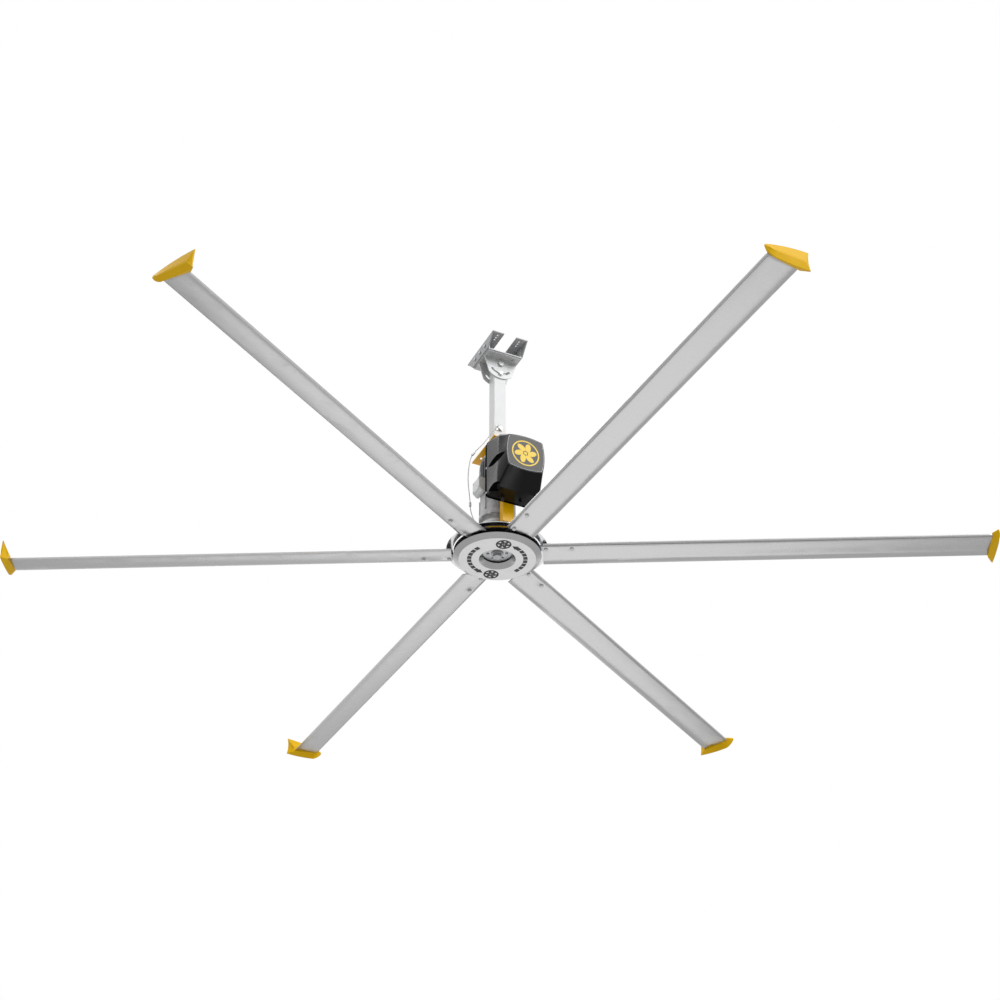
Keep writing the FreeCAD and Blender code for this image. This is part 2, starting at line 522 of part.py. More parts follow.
case_shell = turned("gearcase_shell", [
    (CASE_INNER, level("Dim.split_level")), ("Dim.split_radius", level("Dim.split_level")),
    ("Dim.split_radius", level("Dim.split_level + Dim.split_wall")),
    ("Dim.case_radius", level("Dim.split_level + Dim.split_wall")),
    ("Dim.case_radius", level("Dim.case_top_level")),
    ("Dim.motor_shaft_radius + 2", level("Dim.case_top_level")),
    ("Dim.motor_shaft_radius + 2", level(CASE_ROOF)), (CASE_INNER, level(CASE_ROOF))])
lay_boss = bar("lay_boss", "Dim.lay_bearing_radius + Dim.lay_boss_wall", "z",
               (level(f"{LAY_TOP} - Dim.lay_bearing_width"), level("Dim.case_top_level")), y=CENTRES)
node(cut("gearcase_upper", fuse("gearcase_upper_blank", case_shell, lay_boss),
         bar("lay_seat_high", "Dim.lay_bearing_radius", "z",
             (level(f"{LAY_TOP} - Dim.lay_bearing_width"), level(LAY_TOP)), y=CENTRES),
         *case_flats("gearcase_upper", "Dim.split_level - 1", "Dim.split_level + Dim.split_wall + 1"),
         holes("split_holes_high", val("Dim.case_bolt_radius"), split_places, height("Dim.split_level") - 1,
               height("Dim.split_level + Dim.split_wall")),
         holes("motor_holes_low", val("Dim.case_bolt_radius"), motor_places,
               height("Dim.case_top_level - Dim.case_bolt_depth"), height("Dim.case_top_level") + 1)),
     "gearcase_upper")

case_bolts = []
DOWN = Vector(0, 0, -1)
for place in split_places:
    seat = place + Vector(0, 0, height("Dim.split_level - Dim.split_wall"))
    case_bolts.append(moved(screw(val("Dim.case_bolt_radius"), val("2 * Dim.split_wall")), seat))
for place in foot_places:
    seat = place + Vector(0, 0, height("Dim.base_plate_level"))
    case_bolts.append(moved(screw(val("Dim.case_bolt_radius"),
                                  val("Dim.foot_wall + Dim.base_plate_wall")), seat))
for place in motor_places:
    seat = place + Vector(0, 0, height("Dim.case_top_level + Dim.motor_flange_wall"))
    case_bolts.append(moved(screw(val("Dim.case_bolt_radius"),
                                  val("Dim.motor_flange_wall + Dim.case_bolt_depth")), seat, DOWN))
group("gearmotor_bolts", case_bolts)


def race(name, inner, outer, low, high, **centre):
    """Bearing or seal as a plain ring about an upright axis."""
    span = (level(low), level(high))
    return cut(name, bar(f"{name}_outside", outer, "z", span, **centre),
               bar(f"{name}_inside", inner, "z", span, **centre))


def compound(label, *items):
    """Node that gathers several objects as separate solids."""
    gathered = doc.addObject("Part::Compound", label)
    gathered.Links = list(items)
    return node(gathered, label)


SHAFT_BORE = "Dim.shaft_radius + Dim.shaft_play"
LAY_BORE = "Dim.lay_radius + Dim.shaft_play"
compound("gearbox_bearings",
         race("output_bearing_low", SHAFT_BORE, "Dim.bearing_radius", SEAL_TOP, LOW_BEARING_TOP),
         race("output_bearing_high", SHAFT_BORE, "Dim.bearing_radius", HIGH_BEARING, HIGH_BEARING_TOP),
         race("layshaft_bearing_low", LAY_BORE, "Dim.lay_bearing_radius", LAY_FOOT, "Dim.split_level",
              y=CENTRES),
         race("layshaft_bearing_high", LAY_BORE, "Dim.lay_bearing_radius",
              f"{LAY_TOP} - Dim.lay_bearing_width", LAY_TOP, y=CENTRES))
node(race("shaft_seal", "Dim.shaft_shoulder + Dim.seal_play", "Dim.seal_radius", FOOT, SEAL_TOP),
     "shaft_seal")


# Gear train
def gear(teeth, width, bore, tooth_turn):
    """Spur gear about +Z with involute flanks; one tooth stands at the given turn in degrees."""
    module = val("Dim.tooth_module")
    pitch_radius = teeth * module / 2
    base = pitch_radius * math.cos(math.radians(20))
    root, tip = pitch_radius - 1.25 * module, pitch_radius + module
    half_tooth = math.pi / (2 * teeth) - val("Dim.tooth_backlash") / (2 * pitch_radius)

    def half_angle(radius):
        """Half of the tooth's angular thickness at a radius."""
        pressure = math.acos(min(1.0, base / radius))
        involute = math.tan(pressure) - pressure
        return half_tooth + math.tan(math.radians(20)) - math.radians(20) - involute

    def spot(radius, turn):
        return Vector(radius * math.cos(turn), radius * math.sin(turn), 0)

    start = max(base, root)
    radii = [root] * (start > root) + [start + (tip - start) * step / 3 for step in range(4)]
    edges = []
    for tooth in range(teeth):
        middle = math.radians(tooth_turn) + tooth * 2 * math.pi / teeth
        following = middle + 2 * math.pi / teeth
        rise = [spot(radius, middle - half_angle(radius)) for radius in radii]
        fall = [spot(radius, middle + half_angle(radius)) for radius in reversed(radii)]
        for flank in (rise, fall):
            curve = Part.BSplineCurve()
            curve.interpolate(flank)
            edges.append(curve.toShape())
            if flank is rise:
                edges.append(Part.Arc(rise[-1], spot(tip, middle), fall[0]).toShape())
        floor_end = spot(root, following - half_angle(radii[0]))
        edges.append(Part.Arc(fall[-1], spot(root, middle + math.pi / teeth), floor_end).toShape())
    blank = Part.Face(Part.Wire(edges)).extrude(Vector(0, 0, width))
    return blank.cut(Part.makeCylinder(bore, width)) if bore else blank


pinion, wheel = int(val("Dim.pinion_teeth")), int(val("Dim.wheel_teeth"))
pinion_width, wheel_width = val("Dim.pinion_width"), val("Dim.wheel_width")
pinion_overlap = (pinion_width - wheel_width) / 2
stage_one, stage_two = height("Dim.stage_one_level"), height("Dim.stage_two_level")
lay_y = val(CENTRES)

motor_pinion = moved(gear(pinion, pinion_width, 0, 90), Vector(0, 0, stage_one - pinion_overlap))
MOTOR_FOOT = "Dim.case_top_level"
MOTOR_BEARING_LOW = f"{MOTOR_FOOT} + 4"
MOTOR_BEARING_HIGH = "Dim.motor_top_level + 10"
neck_low = stage_one + wheel_width
shaft_low = height(CASE_ROOF) - 6
shaft_high = height(f"{MOTOR_BEARING_HIGH} + Dim.motor_bearing_width")
neck = Part.makeCylinder(val("Dim.motor_neck_radius"), shaft_low - neck_low + 1, Vector(0, 0, neck_low))
spindle = Part.makeCylinder(val("Dim.motor_shaft_radius"), shaft_high - shaft_low, Vector(0, 0, shaft_low))
node(feature("motor_shaft", motor_pinion.fuse([neck, spindle]).removeSplitter()), "motor_shaft")

lay_pinion = moved(gear(pinion, pinion_width, 0, -90), Vector(0, lay_y, stage_two - pinion_overlap))
lay_bar = Part.makeCylinder(val("Dim.lay_radius"), val(f"{LAY_TOP} - ({LAY_FOOT})"),
                            Vector(0, lay_y, height(LAY_FOOT)))
lay_wheel = moved(gear(wheel, wheel_width, 0, 90), Vector(0, lay_y, stage_one))
node(feature("layshaft", lay_pinion.fuse([lay_bar, lay_wheel]).removeSplitter()), "layshaft")
node(feature("output_gear", moved(gear(wheel, wheel_width, val("Dim.shaft_top_radius"), -90),
                                  Vector(0, 0, stage_two))), "output_gear")

# Motor: finned housing with its flange, end cover, stator, rotor core and bearings
MOTOR_INNER = "Dim.motor_radius - Dim.motor_wall"
BEARING_LOW_TOP = f"{MOTOR_BEARING_LOW} + Dim.motor_bearing_width"
FLANGE_RADIUS = "Dim.case_radius"
housing = turned("motor_shell", [
    ("Dim.motor_shaft_radius + 2", level(MOTOR_FOOT)), (FLANGE_RADIUS, level(MOTOR_FOOT)),
    (FLANGE_RADIUS, level(f"{MOTOR_FOOT} + Dim.motor_flange_wall")),
    ("Dim.motor_radius", level(f"{MOTOR_FOOT} + Dim.motor_flange_wall")),
    ("Dim.motor_radius", level("Dim.motor_top_level")), (MOTOR_INNER, level("Dim.motor_top_level")),
    (MOTOR_INNER, level(f"{MOTOR_FOOT} + Dim.motor_floor")),
    ("Dim.motor_bearing_radius", level(f"{MOTOR_FOOT} + Dim.motor_floor")),
    ("Dim.motor_bearing_radius", level(MOTOR_BEARING_LOW)),
    ("Dim.motor_shaft_radius + 2", level(MOTOR_BEARING_LOW))])
fins = []
for k in range(int(val("Dim.fin_count"))):
    fin_corner = Vector(val("Dim.motor_radius") - 1, -val("Dim.fin_wall") / 2, height("Dim.fin_low_level"))
    fin = Part.makeBox(val("Dim.fin_height") + 1, val("Dim.fin_wall"),
                       val("Dim.fin_high_level - Dim.fin_low_level"), fin_corner)
    fin.Placement = Placement(Vector(), Rotation(UP, k * 360 / val("Dim.fin_count")))
    fins.append(fin)
box_pad = slab("box_pad", ("-Dim.box_inner", f"-({MOTOR_INNER}) - 1"),
               ("-Dim.box_front + 8", "Dim.box_rear - 8"),
               (level("Dim.fin_low_level"), level("Dim.box_high_level - 8")))
fins = feature("motor_fins", Part.makeCompound(fins))
node(cut("motor_housing", fuse("motor_housing_blank", housing, fins, box_pad),
         holes("motor_holes_high", val("Dim.case_bolt_radius"), motor_places, height(MOTOR_FOOT) - 1,
               height(f"{MOTOR_FOOT} + Dim.motor_flange_wall") + 1)), "motor_housing")

CAP_TOP = "Dim.motor_top_level + Dim.motor_cap_height"
node(turned("motor_end_cover", [
    (MOTOR_INNER, level("Dim.motor_top_level")), ("Dim.motor_radius", level("Dim.motor_top_level")),
    ("Dim.motor_radius", level(f"{CAP_TOP} - 10")), ("Dim.motor_radius - 8", level(CAP_TOP)),
    ("0", level(CAP_TOP)), ("0", level(f"{CAP_TOP} - 8")),
    ("Dim.motor_bearing_radius", level(f"{CAP_TOP} - 8")),
    ("Dim.motor_bearing_radius", level(MOTOR_BEARING_HIGH)),
    ("Dim.motor_bearing_radius + 8", level(MOTOR_BEARING_HIGH)),
    ("Dim.motor_bearing_radius + 8", level(f"{CAP_TOP} - 14")), (MOTOR_INNER, level(f"{CAP_TOP} - 14"))]),
     "motor_end_cover")
MOTOR_BORE = "Dim.motor_shaft_radius + Dim.shaft_play"
compound("motor_bearings",
         race("motor_bearing_low", MOTOR_BORE, "Dim.motor_bearing_radius", MOTOR_BEARING_LOW,
              BEARING_LOW_TOP),
         race("motor_bearing_high", MOTOR_BORE, "Dim.motor_bearing_radius", MOTOR_BEARING_HIGH,
              f"{MOTOR_BEARING_HIGH} + Dim.motor_bearing_width"))
STATOR_BORE = "Dim.core_radius + Dim.air_gap"
WINDING = (f"{STATOR_BORE} + Dim.winding_inset", f"{MOTOR_INNER} - Dim.winding_inset")
compound("stator",
         race("stator_core", STATOR_BORE, MOTOR_INNER, "Dim.core_low_level", "Dim.core_high_level"),
         race("winding_low", *WINDING, "Dim.core_low_level - Dim.winding_overhang", "Dim.core_low_level"),
         race("winding_high", *WINDING, "Dim.core_high_level",
              "Dim.core_high_level + Dim.winding_overhang"))
node(race("rotor_core", "Dim.motor_shaft_radius", "Dim.core_radius", "Dim.core_low_level",
          "Dim.core_high_level"), "rotor_core")

# Junction box on the motor's left side, with lid, and the cable glands
BOX_OUTER = "-Dim.box_inner - Dim.box_depth"
BOX_Y = ("-Dim.box_front", "Dim.box_rear")
inner_z = (level("Dim.box_low_level + Dim.box_wall + Dim.box_chamfer"),
           level("Dim.box_high_level - Dim.box_wall"))
box_block = prism("junction_box_block", "XZ", [
    ("-Dim.box_inner", level("Dim.box_low_level")),
    ("-Dim.box_inner", level("Dim.box_high_level")), (BOX_OUTER, level("Dim.box_high_level")),
    (BOX_OUTER, level("Dim.box_low_level + Dim.box_chamfer")),
    (f"{BOX_OUTER} + Dim.box_chamfer", level("Dim.box_low_level"))], *BOX_Y)
LEAD_X, LEAD_Y = "-Dim.box_inner - Dim.box_depth / 2", "-Dim.lead_reach"
box_hollow = slab("junction_box_hollow", (BOX_OUTER, "-Dim.box_inner - Dim.box_wall"),
                  ("Dim.box_wall - Dim.box_front", "Dim.box_rear - Dim.box_wall"), inner_z)
lead_hole = bar("junction_box_lead_hole", "Dim.gland_bore", "z",
                (level("Dim.box_high_level - 2 * Dim.box_wall"), level("Dim.box_high_level")),
                x=LEAD_X, y=LEAD_Y)
node(cut("junction_box", box_block, box_hollow, lead_hole), "junction_box")
node(slab("junction_box_lid", (f"{BOX_OUTER} - Dim.lid_wall", BOX_OUTER), BOX_Y,
          (level("Dim.box_low_level + Dim.box_chamfer"), level("Dim.box_high_level"))), "junction_box_lid")

TRAY_BACK = "-Dim.leg_front"
TRAY_FRONT = f"{TRAY_BACK} - Dim.tray_wall"
tray_lead = Vector(-val("Dim.tray_lead_x"), val(TRAY_BACK), height("Dim.tray_lead_level"))


def gland(base, axis):
    """Cable gland: hexagon and dome nut with a bore for the lead."""
    radius, length = val("Dim.gland_radius"), val("Dim.gland_length")
    collar = hexagon(radius / 1.6, 0, length / 2)
    dome = Part.makeCylinder(radius, length / 2, Vector(0, 0, length / 2))
    shape = collar.fuse(dome).cut(Part.makeCylinder(val("Dim.gland_bore"), length)).removeSplitter()
    return moved(shape, base, axis)


box_gland = Vector(val(LEAD_X), val(LEAD_Y), height("Dim.box_high_level"))


# Free cords: straight runs joined by arcs as large as the runs allow
def cord_path(name, points):
    """Wire through the route's points, each corner rounded by 0.45 of its shorter run."""
    edges, radii, last = [], [], points[0]
    for before, corner, after in zip(points, points[1:], points[2:]):
        into, out = (corner - before).normalize(), (after - corner).normalize()
        turn = into.getAngle(out)
        trim = 0.45 * min((corner - before).Length, (after - corner).Length)
        radius = trim / math.tan(turn / 2)
        start, end = corner - into * trim, corner + out * trim
        bisector = (out - into).normalize()
        middle = corner + bisector * (radius / math.cos(turn / 2) - radius)
        edges += [Part.LineSegment(last, start).toShape(), Part.Arc(start, middle, end).toShape()]
        radii.append(round(radius))
        last = end
    edges.append(Part.LineSegment(last, points[-1]).toShape())
    print(name, "radii", radii)
    return Part.Wire(edges)


def cord(label, points, radius):
    """Round cord along a route, compared with its section times its length."""
    path = cord_path(label, points)
    start = Part.Wire(Part.makeCircle(radius, points[0], points[1] - points[0]))
    shape = path.makePipeShell([start], True, True)
    plain = math.pi * radius ** 2 * path.Length
    print(label, "length", round(path.Length, 1), "volume ratio", round(shape.Volume / plain, 4))
    return node(feature(label, shape), label)


def route(points):
    """Route points given as X, reach to the front and level above the blade plane."""
    return [Vector(x, -reach, height(str(rise))) for x, reach, rise in points]


lead_start = box_gland + UP * val("Dim.gland_length")
lead_end = tray_lead - FRONT * val("Dim.gland_length")
LEAD_ROUTE = [(-103, 12, 456), (-105, 30, 493), (-100, 58, 512), (-96, 84, 506)]
cord("motor_lead", [lead_start] + route(LEAD_ROUTE) + [lead_end], val("Dim.lead_radius"))

ROPE_ROUTE = [(-20, 40.25, 744), (-40, 36, 714), (-62, 22, 673), (-88, 10, 628), (-121, 0, 586),
              (-146, -5, 543), (-155, -8, 475), (-159, -8, 408), (-154, -8, 345), (-147, -6, 280),
              (-146, -4, 225), (-137, -2, 184), (-122, 0, 150)]
rope = route(ROPE_ROUTE)
cord("safety_cable", rope, val("Dim.rope_radius"))


def sleeve(before, after):
    """Clip round the rope at the middle of a run."""
    along = (after - before).normalize()
    length = val("Dim.sleeve_length")
    tube = Part.makeCylinder(val("Dim.ferrule_radius") + 1.5, length).cut(
        Part.makeCylinder(val("Dim.sleeve_bore"), length))
    return moved(tube, (before + after) * 0.5 - along * (length / 2), along)


ferrule_length = 2 * val("Dim.sleeve_length")
upper_ferrule = moved(Part.makeCylinder(val("Dim.ferrule_radius"), val("Dim.sleeve_length")), rope[0],
                      rope[0] - rope[1])
lower_ferrule = moved(Part.makeCylinder(val("Dim.ferrule_radius"), ferrule_length), rope[-1],
                      rope[-1] - rope[-2])
reach = val("Dim.base_plate_width")
below = Part.makeBox(2 * reach, reach, reach, Vector(-2 * reach, -reach / 2, val(BASE_TOP) - reach))
clips = feature("cable_clips", Part.makeCompound([upper_ferrule, lower_ferrule.cut(below),
                                                  sleeve(rope[4], rope[5]), sleeve(rope[9], rope[10])]))
lug_face = f"-({ROD_HALF})"
eye = bar("eye_hole", "Dim.rod_bolt_radius", "y", (f"{lug_face} - Dim.lug_wall", lug_face),
          z=level("Dim.rod_bolt_level"))
upper_lug = slab("upper_lug_blank", ("-4 * Dim.rod_bolt_radius", "2 * Dim.rod_bolt_radius"),
                 (f"{lug_face} - Dim.lug_wall", lug_face),
                 (level("Dim.rod_bolt_level - 2 * Dim.rod_bolt_radius"),
                  level("Dim.rod_bolt_level + 2.5 * Dim.rod_bolt_radius")))
upper_lug = cut("upper_lug", upper_lug, eye)
lower_lug = slab("lower_lug", ("-Dim.base_plate_width / 2 - Dim.lug_reach", "-Dim.base_plate_width / 2"),
                 ("-Dim.lug_width / 2", "Dim.lug_width / 2"), (level("Dim.base_plate_level"), BASE_TOP))
compound("cable_fittings", clips, upper_lug, lower_lug)

# Drive: back plate with side flanges, drive unit, moulded cover, front panel and screws
SCREW_Y = f"{TRAY_BACK} - Dim.cover_screw_depth"
SCREW_LEVELS = [f"(Dim.cover_low_level + Dim.cover_high_level) / 2 + {k} * Dim.cover_screw_pitch"
                for k in (-1, 0, 1)]


def screw_drills(name):
    """Cross drills for the cover's side screws."""
    return [bar(f"{name}_screw_hole_{k}", "Dim.cover_screw_radius", "x",
                ("-Dim.cover_width", "Dim.cover_width"), y=SCREW_Y, z=level(place))
            for k, place in enumerate(SCREW_LEVELS)]


def bowed_outline(depth, half_width, low, high, bow, corner, lean=0):
    """Closed outline across the cover: four bowed sides and four rounded corners."""
    middle = (low + high) / 2

    def spot(x, z):
        return Vector(x, val(TRAY_BACK) - depth - lean * (z - low) / (high - low), z)

    sides = []
    for sign_x, sign_z in ((0, -1), (1, 0), (0, 1), (-1, 0)):
        edge_z = low if sign_z < 0 else high
        if sign_z:
            ends = [spot(sign * (half_width - corner) * -sign_z, edge_z) for sign in (-1, 1)]
            crest = spot(0, edge_z + sign_z * bow)
        else:
            ends = [spot(sign_x * half_width, middle + sign * ((high - low) / 2 - corner) * sign_x)
                    for sign in (-1, 1)]
            crest = spot(sign_x * (half_width + bow), middle)
        sides.append((ends[0], crest, ends[1]))
    edges = []
    for index, (start, crest, end) in enumerate(sides):
        following = sides[(index + 1) % 4][0]
        hinge = (end + following) * 0.5
        outward = Vector(hinge.x, 0, hinge.z - middle)
        outward = Vector(math.copysign(1, outward.x), 0, math.copysign(1, outward.z)).normalize()
        edges.append(Part.Arc(start, crest, end).toShape())
        edges.append(Part.Arc(end, hinge + outward * 0.29 * corner, following).toShape())
    return Part.Wire(edges)


def back_outline(depth, inset):
    """Outline of the cover's straight skirt at a depth, drawn in by an inset."""
    return bowed_outline(depth, val("Dim.cover_width / 2") - inset, height("Dim.cover_low_level") + inset,
                         height("Dim.cover_high_level") - inset, val("Dim.cover_back_bow"),
                         val("Dim.cover_corner") - inset)


tray_inset = val("Dim.cover_wall + Dim.cover_play")
tray_face = Part.Face(back_outline(0, tray_inset))
tray_blank = tray_face.extrude(FRONT * val("Dim.tray_wall"))
tray_rim = tray_face.extrude(FRONT * val("Dim.tray_side"))
tray_core = Part.Face(back_outline(0, tray_inset + val("Dim.tray_wall")))
tray_core = tray_core.extrude(FRONT * val("Dim.tray_side"))
tray_blank = feature("tray_blank", tray_blank.fuse(tray_rim.cut(tray_core)).removeSplitter())
tray_drills = [bar(f"tray_hole_{k}", "Dim.tray_bolt_radius", "y", (TRAY_FRONT, TRAY_BACK),
                   x=f"{x} * Dim.tray_bolt_spread / 2", z=level(place))
               for k, (x, place) in enumerate(tray_bolt_places)]
tray_lead_hole = bar("tray_lead_hole", "Dim.gland_bore", "y", (TRAY_FRONT, TRAY_BACK),
                     x=str(tray_lead.x), z=str(tray_lead.z))
node(cut("drive_back_plate", tray_blank, tray_lead_hole, *tray_drills,
         *screw_drills("tray")), "drive_back_plate")

node(slab("drive_unit", ("-Dim.drive_width / 2", "Dim.drive_width / 2"),
          (f"{TRAY_FRONT} - Dim.drive_depth", TRAY_FRONT),
          (level("Dim.drive_low_level"), level("Dim.drive_high_level"))), "drive_unit")


def cover_solid(inset):
    """Cover's outer form, or its inside when drawn in by the wall."""
    corner = val("Dim.cover_corner") - inset
    knee = (val("Dim.cover_break_width / 2") - inset, height("Dim.cover_low_level") + inset,
            height("Dim.cover_break_high_level") - inset)
    face = (val("Dim.cover_face_width / 2") - inset, height("Dim.cover_face_low_level") + inset,
            height("Dim.cover_face_high_level") - inset)
    wires = [back_outline(0, inset), back_outline(val("Dim.cover_skirt"), inset),
             bowed_outline(val("Dim.cover_break_depth"), *knee, val("Dim.cover_break_bow"), corner,
                           val("Dim.cover_break_lean")),
             bowed_outline(val("Dim.cover_depth") - inset, *face, val("Dim.cover_face_bow"), corner)]
    return Part.makeLoft(wires, True, True)


def panel_solid(inset, depth, thick):
    """Plate of the front face's outline, drawn in, standing on a depth."""
    wire = bowed_outline(depth, val("Dim.cover_face_width / 2") - inset,
                         height("Dim.cover_face_low_level") + inset,
                         height("Dim.cover_face_high_level") - inset, val("Dim.cover_face_bow"),
                         val("Dim.cover_corner"))
    return Part.Face(wire).extrude(FRONT * thick)


def scoops():
    """Lens-shaped recesses in both sides of the cover, cut down to a floor under its skin."""
    inner, thick = val("Dim.scoop_inner"), val("Dim.cover_width / 2")
    floor = cover_solid(val("Dim.scoop_depth"))
    tools = []
    for name in ("high", "low"):
        near, far = val(f"Dim.scoop_{name}_near"), val(f"Dim.scoop_{name}_far")
        half = val(f"Dim.scoop_{name}_height / 2")
        radius = ((far - near) ** 2 / 4 + half ** 2) / (2 * half)
        for side in (-1, 1):
            middle = Vector(side * inner, val(TRAY_BACK) - (near + far) / 2,
                            height(f"Dim.scoop_{name}_level"))
            discs = [Part.makeCylinder(radius, thick, middle + UP * shift, Vector(side, 0, 0))
                     for shift in (half - radius, radius - half)]
            tools.append(discs[0].common(discs[1]).cut(floor))
    return tools


panel_depth = val("Dim.cover_depth - Dim.panel_sink")
inside = cover_solid(val("Dim.cover_wall"))
shell = cover_solid(0).cut(inside).cut(panel_solid(val("Dim.panel_inset"), panel_depth, 10))
cover_blank = feature("cover_blank", shell.cut(scoops()))
drive_glands = [Vector(side * val("Dim.drive_gland_x"), -val("Dim.drive_gland_reach"),
                       height("Dim.cover_low_level")) for side in (-1, 1)]
group("cable_glands", [gland(box_gland, UP), gland(tray_lead, -FRONT)]
      + [gland(place, DOWN).cut(cover_solid(0)) for place in drive_glands])
gland_drills = holes("cover_gland_holes", val("Dim.gland_bore"), drive_glands,
                     height("Dim.cover_low_level") - 5, height("Dim.cover_low_level") + 10)
node(cut("drive_cover", cover_blank, gland_drills, *screw_drills("cover")), "drive_cover")
node(feature("cover_front_panel", panel_solid(val("Dim.panel_inset + 0.2"), panel_depth,
                                              val("Dim.panel_wall"))), "cover_front_panel")
cover_screws = []
for side in (-1, 1):
    for place in SCREW_LEVELS:
        head = Part.makeCylinder(2 * val("Dim.cover_screw_radius"), 2.2)
        shank = Part.makeCylinder(val("Dim.cover_screw_radius"), 8, Vector(0, 0, -8))
        seat = Vector(side * (val("Dim.cover_width / 2") + 1), val(SCREW_Y), height(place))
        cover_screws.append(moved(head.fuse(shank).removeSplitter(), seat, Vector(side, 0, 0)))
group("cover_screws", cover_screws)

# Output shaft, hub and its bolts
COUPLING_TOP = "Dim.boss_level + Dim.coupling_wall"
hub_places = ring_places(6, val("Dim.hub_bolt_circle"), val("Dim.blade_rest_angle"))
shaft = turned("shaft_blank", [
    ("Dim.centre_bolt_radius", level("Dim.shaft_foot_level")),
    ("Dim.shaft_radius", level("Dim.shaft_foot_level")),
    ("Dim.shaft_radius", level("Dim.boss_level")), ("Dim.coupling_radius", level("Dim.boss_level")),
    ("Dim.coupling_radius", level(COUPLING_TOP)), ("Dim.shaft_shoulder", level(COUPLING_TOP)),
    ("Dim.shaft_shoulder", level(SEAL_TOP)), ("Dim.shaft_radius", level(SEAL_TOP)),
    ("Dim.shaft_radius", level(HIGH_BEARING_TOP)), ("Dim.shaft_top_radius", level(HIGH_BEARING_TOP)),
    ("Dim.shaft_top_radius", level("Dim.shaft_top_level")), ("0", level("Dim.shaft_top_level")),
    ("0", level("Dim.centre_bolt_length")), ("Dim.centre_bolt_radius", level("Dim.centre_bolt_length"))])
node(cut("output_shaft", shaft,
         holes("coupling_holes", val("Dim.hub_bolt_radius"), hub_places, height("Dim.boss_level") - 1,
               height(COUPLING_TOP) + 1)), "output_shaft")

blade_angles = [val("Dim.blade_rest_angle") + k * 360 / val("Dim.blade_count")
                for k in range(int(val("Dim.blade_count")))]
pitch_turn = Rotation(Vector(1, 0, 0), -val("Dim.blade_pitch"))


def on_blade(shape, angle):
    """Copy of a shape drawn along a blade (X out, Y along the chord), set at the blade's place."""
    copy = shape.copy()
    copy.Placement = Placement(Vector(0, 0, -val("Dim.drop")), Rotation(UP, angle) * pitch_turn)
    return copy


def strut_block(play):
    """Bar of a strut's section, widened by a play on its four sides."""
    width, wall = val("Dim.strut_width") + 2 * play, val("Dim.strut_wall") + 2 * play
    inner = val("Dim.strut_inner") - play
    return Part.makeBox(val("Dim.strut_outer") - inner + play, width, wall,
                        Vector(inner, -val("Dim.strut_line") - width / 2, val("Dim.strut_rise") - wall / 2))


def strut_bolt_places(angle):
    """Where the two hub bolts of a strut stand."""
    turn = Rotation(UP, angle)
    return [turn.multVec(Vector(val(f"Dim.strut_bolt_{end}"), -val("Dim.strut_line"), 0))
            for end in ("inner", "outer")]


strut_places = [place for angle in blade_angles for place in strut_bolt_places(angle)]
post_places = ring_places(6, val("Dim.dish_post_circle"), val("Dim.blade_rest_angle") + 30)
hub_low, hub_high = height("Dim.hub_low_level"), height("Dim.hub_high_level")
hub_blank = turned("hub_blank", [
    ("Dim.shaft_radius", level("0")), ("Dim.recess_radius", level("0")),
    ("Dim.recess_radius", level("Dim.hub_low_level")), ("Dim.hub_radius", level("Dim.hub_low_level")),
    ("Dim.hub_radius", level("Dim.flange_level")), ("Dim.flange_radius", level("Dim.flange_level")),
    ("Dim.flange_radius", level("Dim.flange_level + Dim.flange_wall")),
    ("Dim.hub_radius", level("Dim.flange_level + Dim.flange_wall")),
    ("Dim.hub_radius", level("Dim.hub_high_level")), ("Dim.boss_radius", level("Dim.hub_high_level")),
    ("Dim.boss_radius", level("Dim.boss_level")), ("Dim.shaft_radius", level("Dim.boss_level"))])
strut_pockets = feature("strut_pockets", Part.makeCompound(
    [on_blade(strut_block(val("Dim.strut_play")), angle) for angle in blade_angles]))
node(cut("hub", hub_blank, strut_pockets,
         holes("strut_holes", val("Dim.strut_bolt_radius"), strut_places, hub_low - 1, hub_high + 1),
         holes("hub_holes", val("Dim.hub_bolt_radius"), hub_places, height("0") - 1,
               height("Dim.boss_level") + 1),
         holes("post_screw_holes", val("Dim.dish_screw_radius"), post_places, hub_low - 1, hub_high + 1)),
     "hub")

strut_drills = [Part.makeCylinder(val("Dim.strut_bolt_radius"), hub_high - hub_low,
                                  Vector(place.x, place.y, hub_low)) for place in strut_places]
drill_reach = 3 * val("Dim.blade_crown")
blade_drills = [Part.makeCylinder(val("Dim.blade_bolt_radius"), 2 * drill_reach,
                                  Vector(val(f"Dim.blade_bolt_{end}"), -val("Dim.strut_line"),
                                         -drill_reach))
                for end in ("inner", "outer")]
struts = [on_blade(strut_block(0).cut(blade_drills), angle).cut(strut_drills) for angle in blade_angles]
group("hub_struts", struts)
hub_bolts = [moved(part, place + Vector(0, 0, hub_low)) for place in strut_places
             for part in bolt(val("Dim.strut_bolt_radius"), hub_high - hub_low)]
hub_bolts += [moved(part, place + Vector(0, 0, height("0"))) for place in hub_places
              for part in bolt(val("Dim.hub_bolt_radius"), val(COUPLING_TOP))]
hub_bolts += [moved(screw(val("Dim.dish_screw_radius"), hub_high - hub_low + val("Dim.dish_screw_bite")),
                    place + Vector(0, 0, hub_high), DOWN) for place in post_places]
group("hub_bolts", hub_bolts)
centre_seat = Vector(0, 0, height("0") - val("Dim.centre_washer_wall"))
centre_washer = Part.makeCylinder(val("Dim.centre_washer_radius"), val("Dim.centre_washer_wall"))
centre_washer = centre_washer.cut(Part.makeCylinder(val("Dim.centre_bolt_radius"), 20))
centre_screw = screw(val("Dim.centre_bolt_radius"), val("Dim.centre_bolt_length + Dim.centre_washer_wall"))
group("centre_bolt", [moved(centre_screw, centre_seat), moved(centre_washer, centre_seat)])

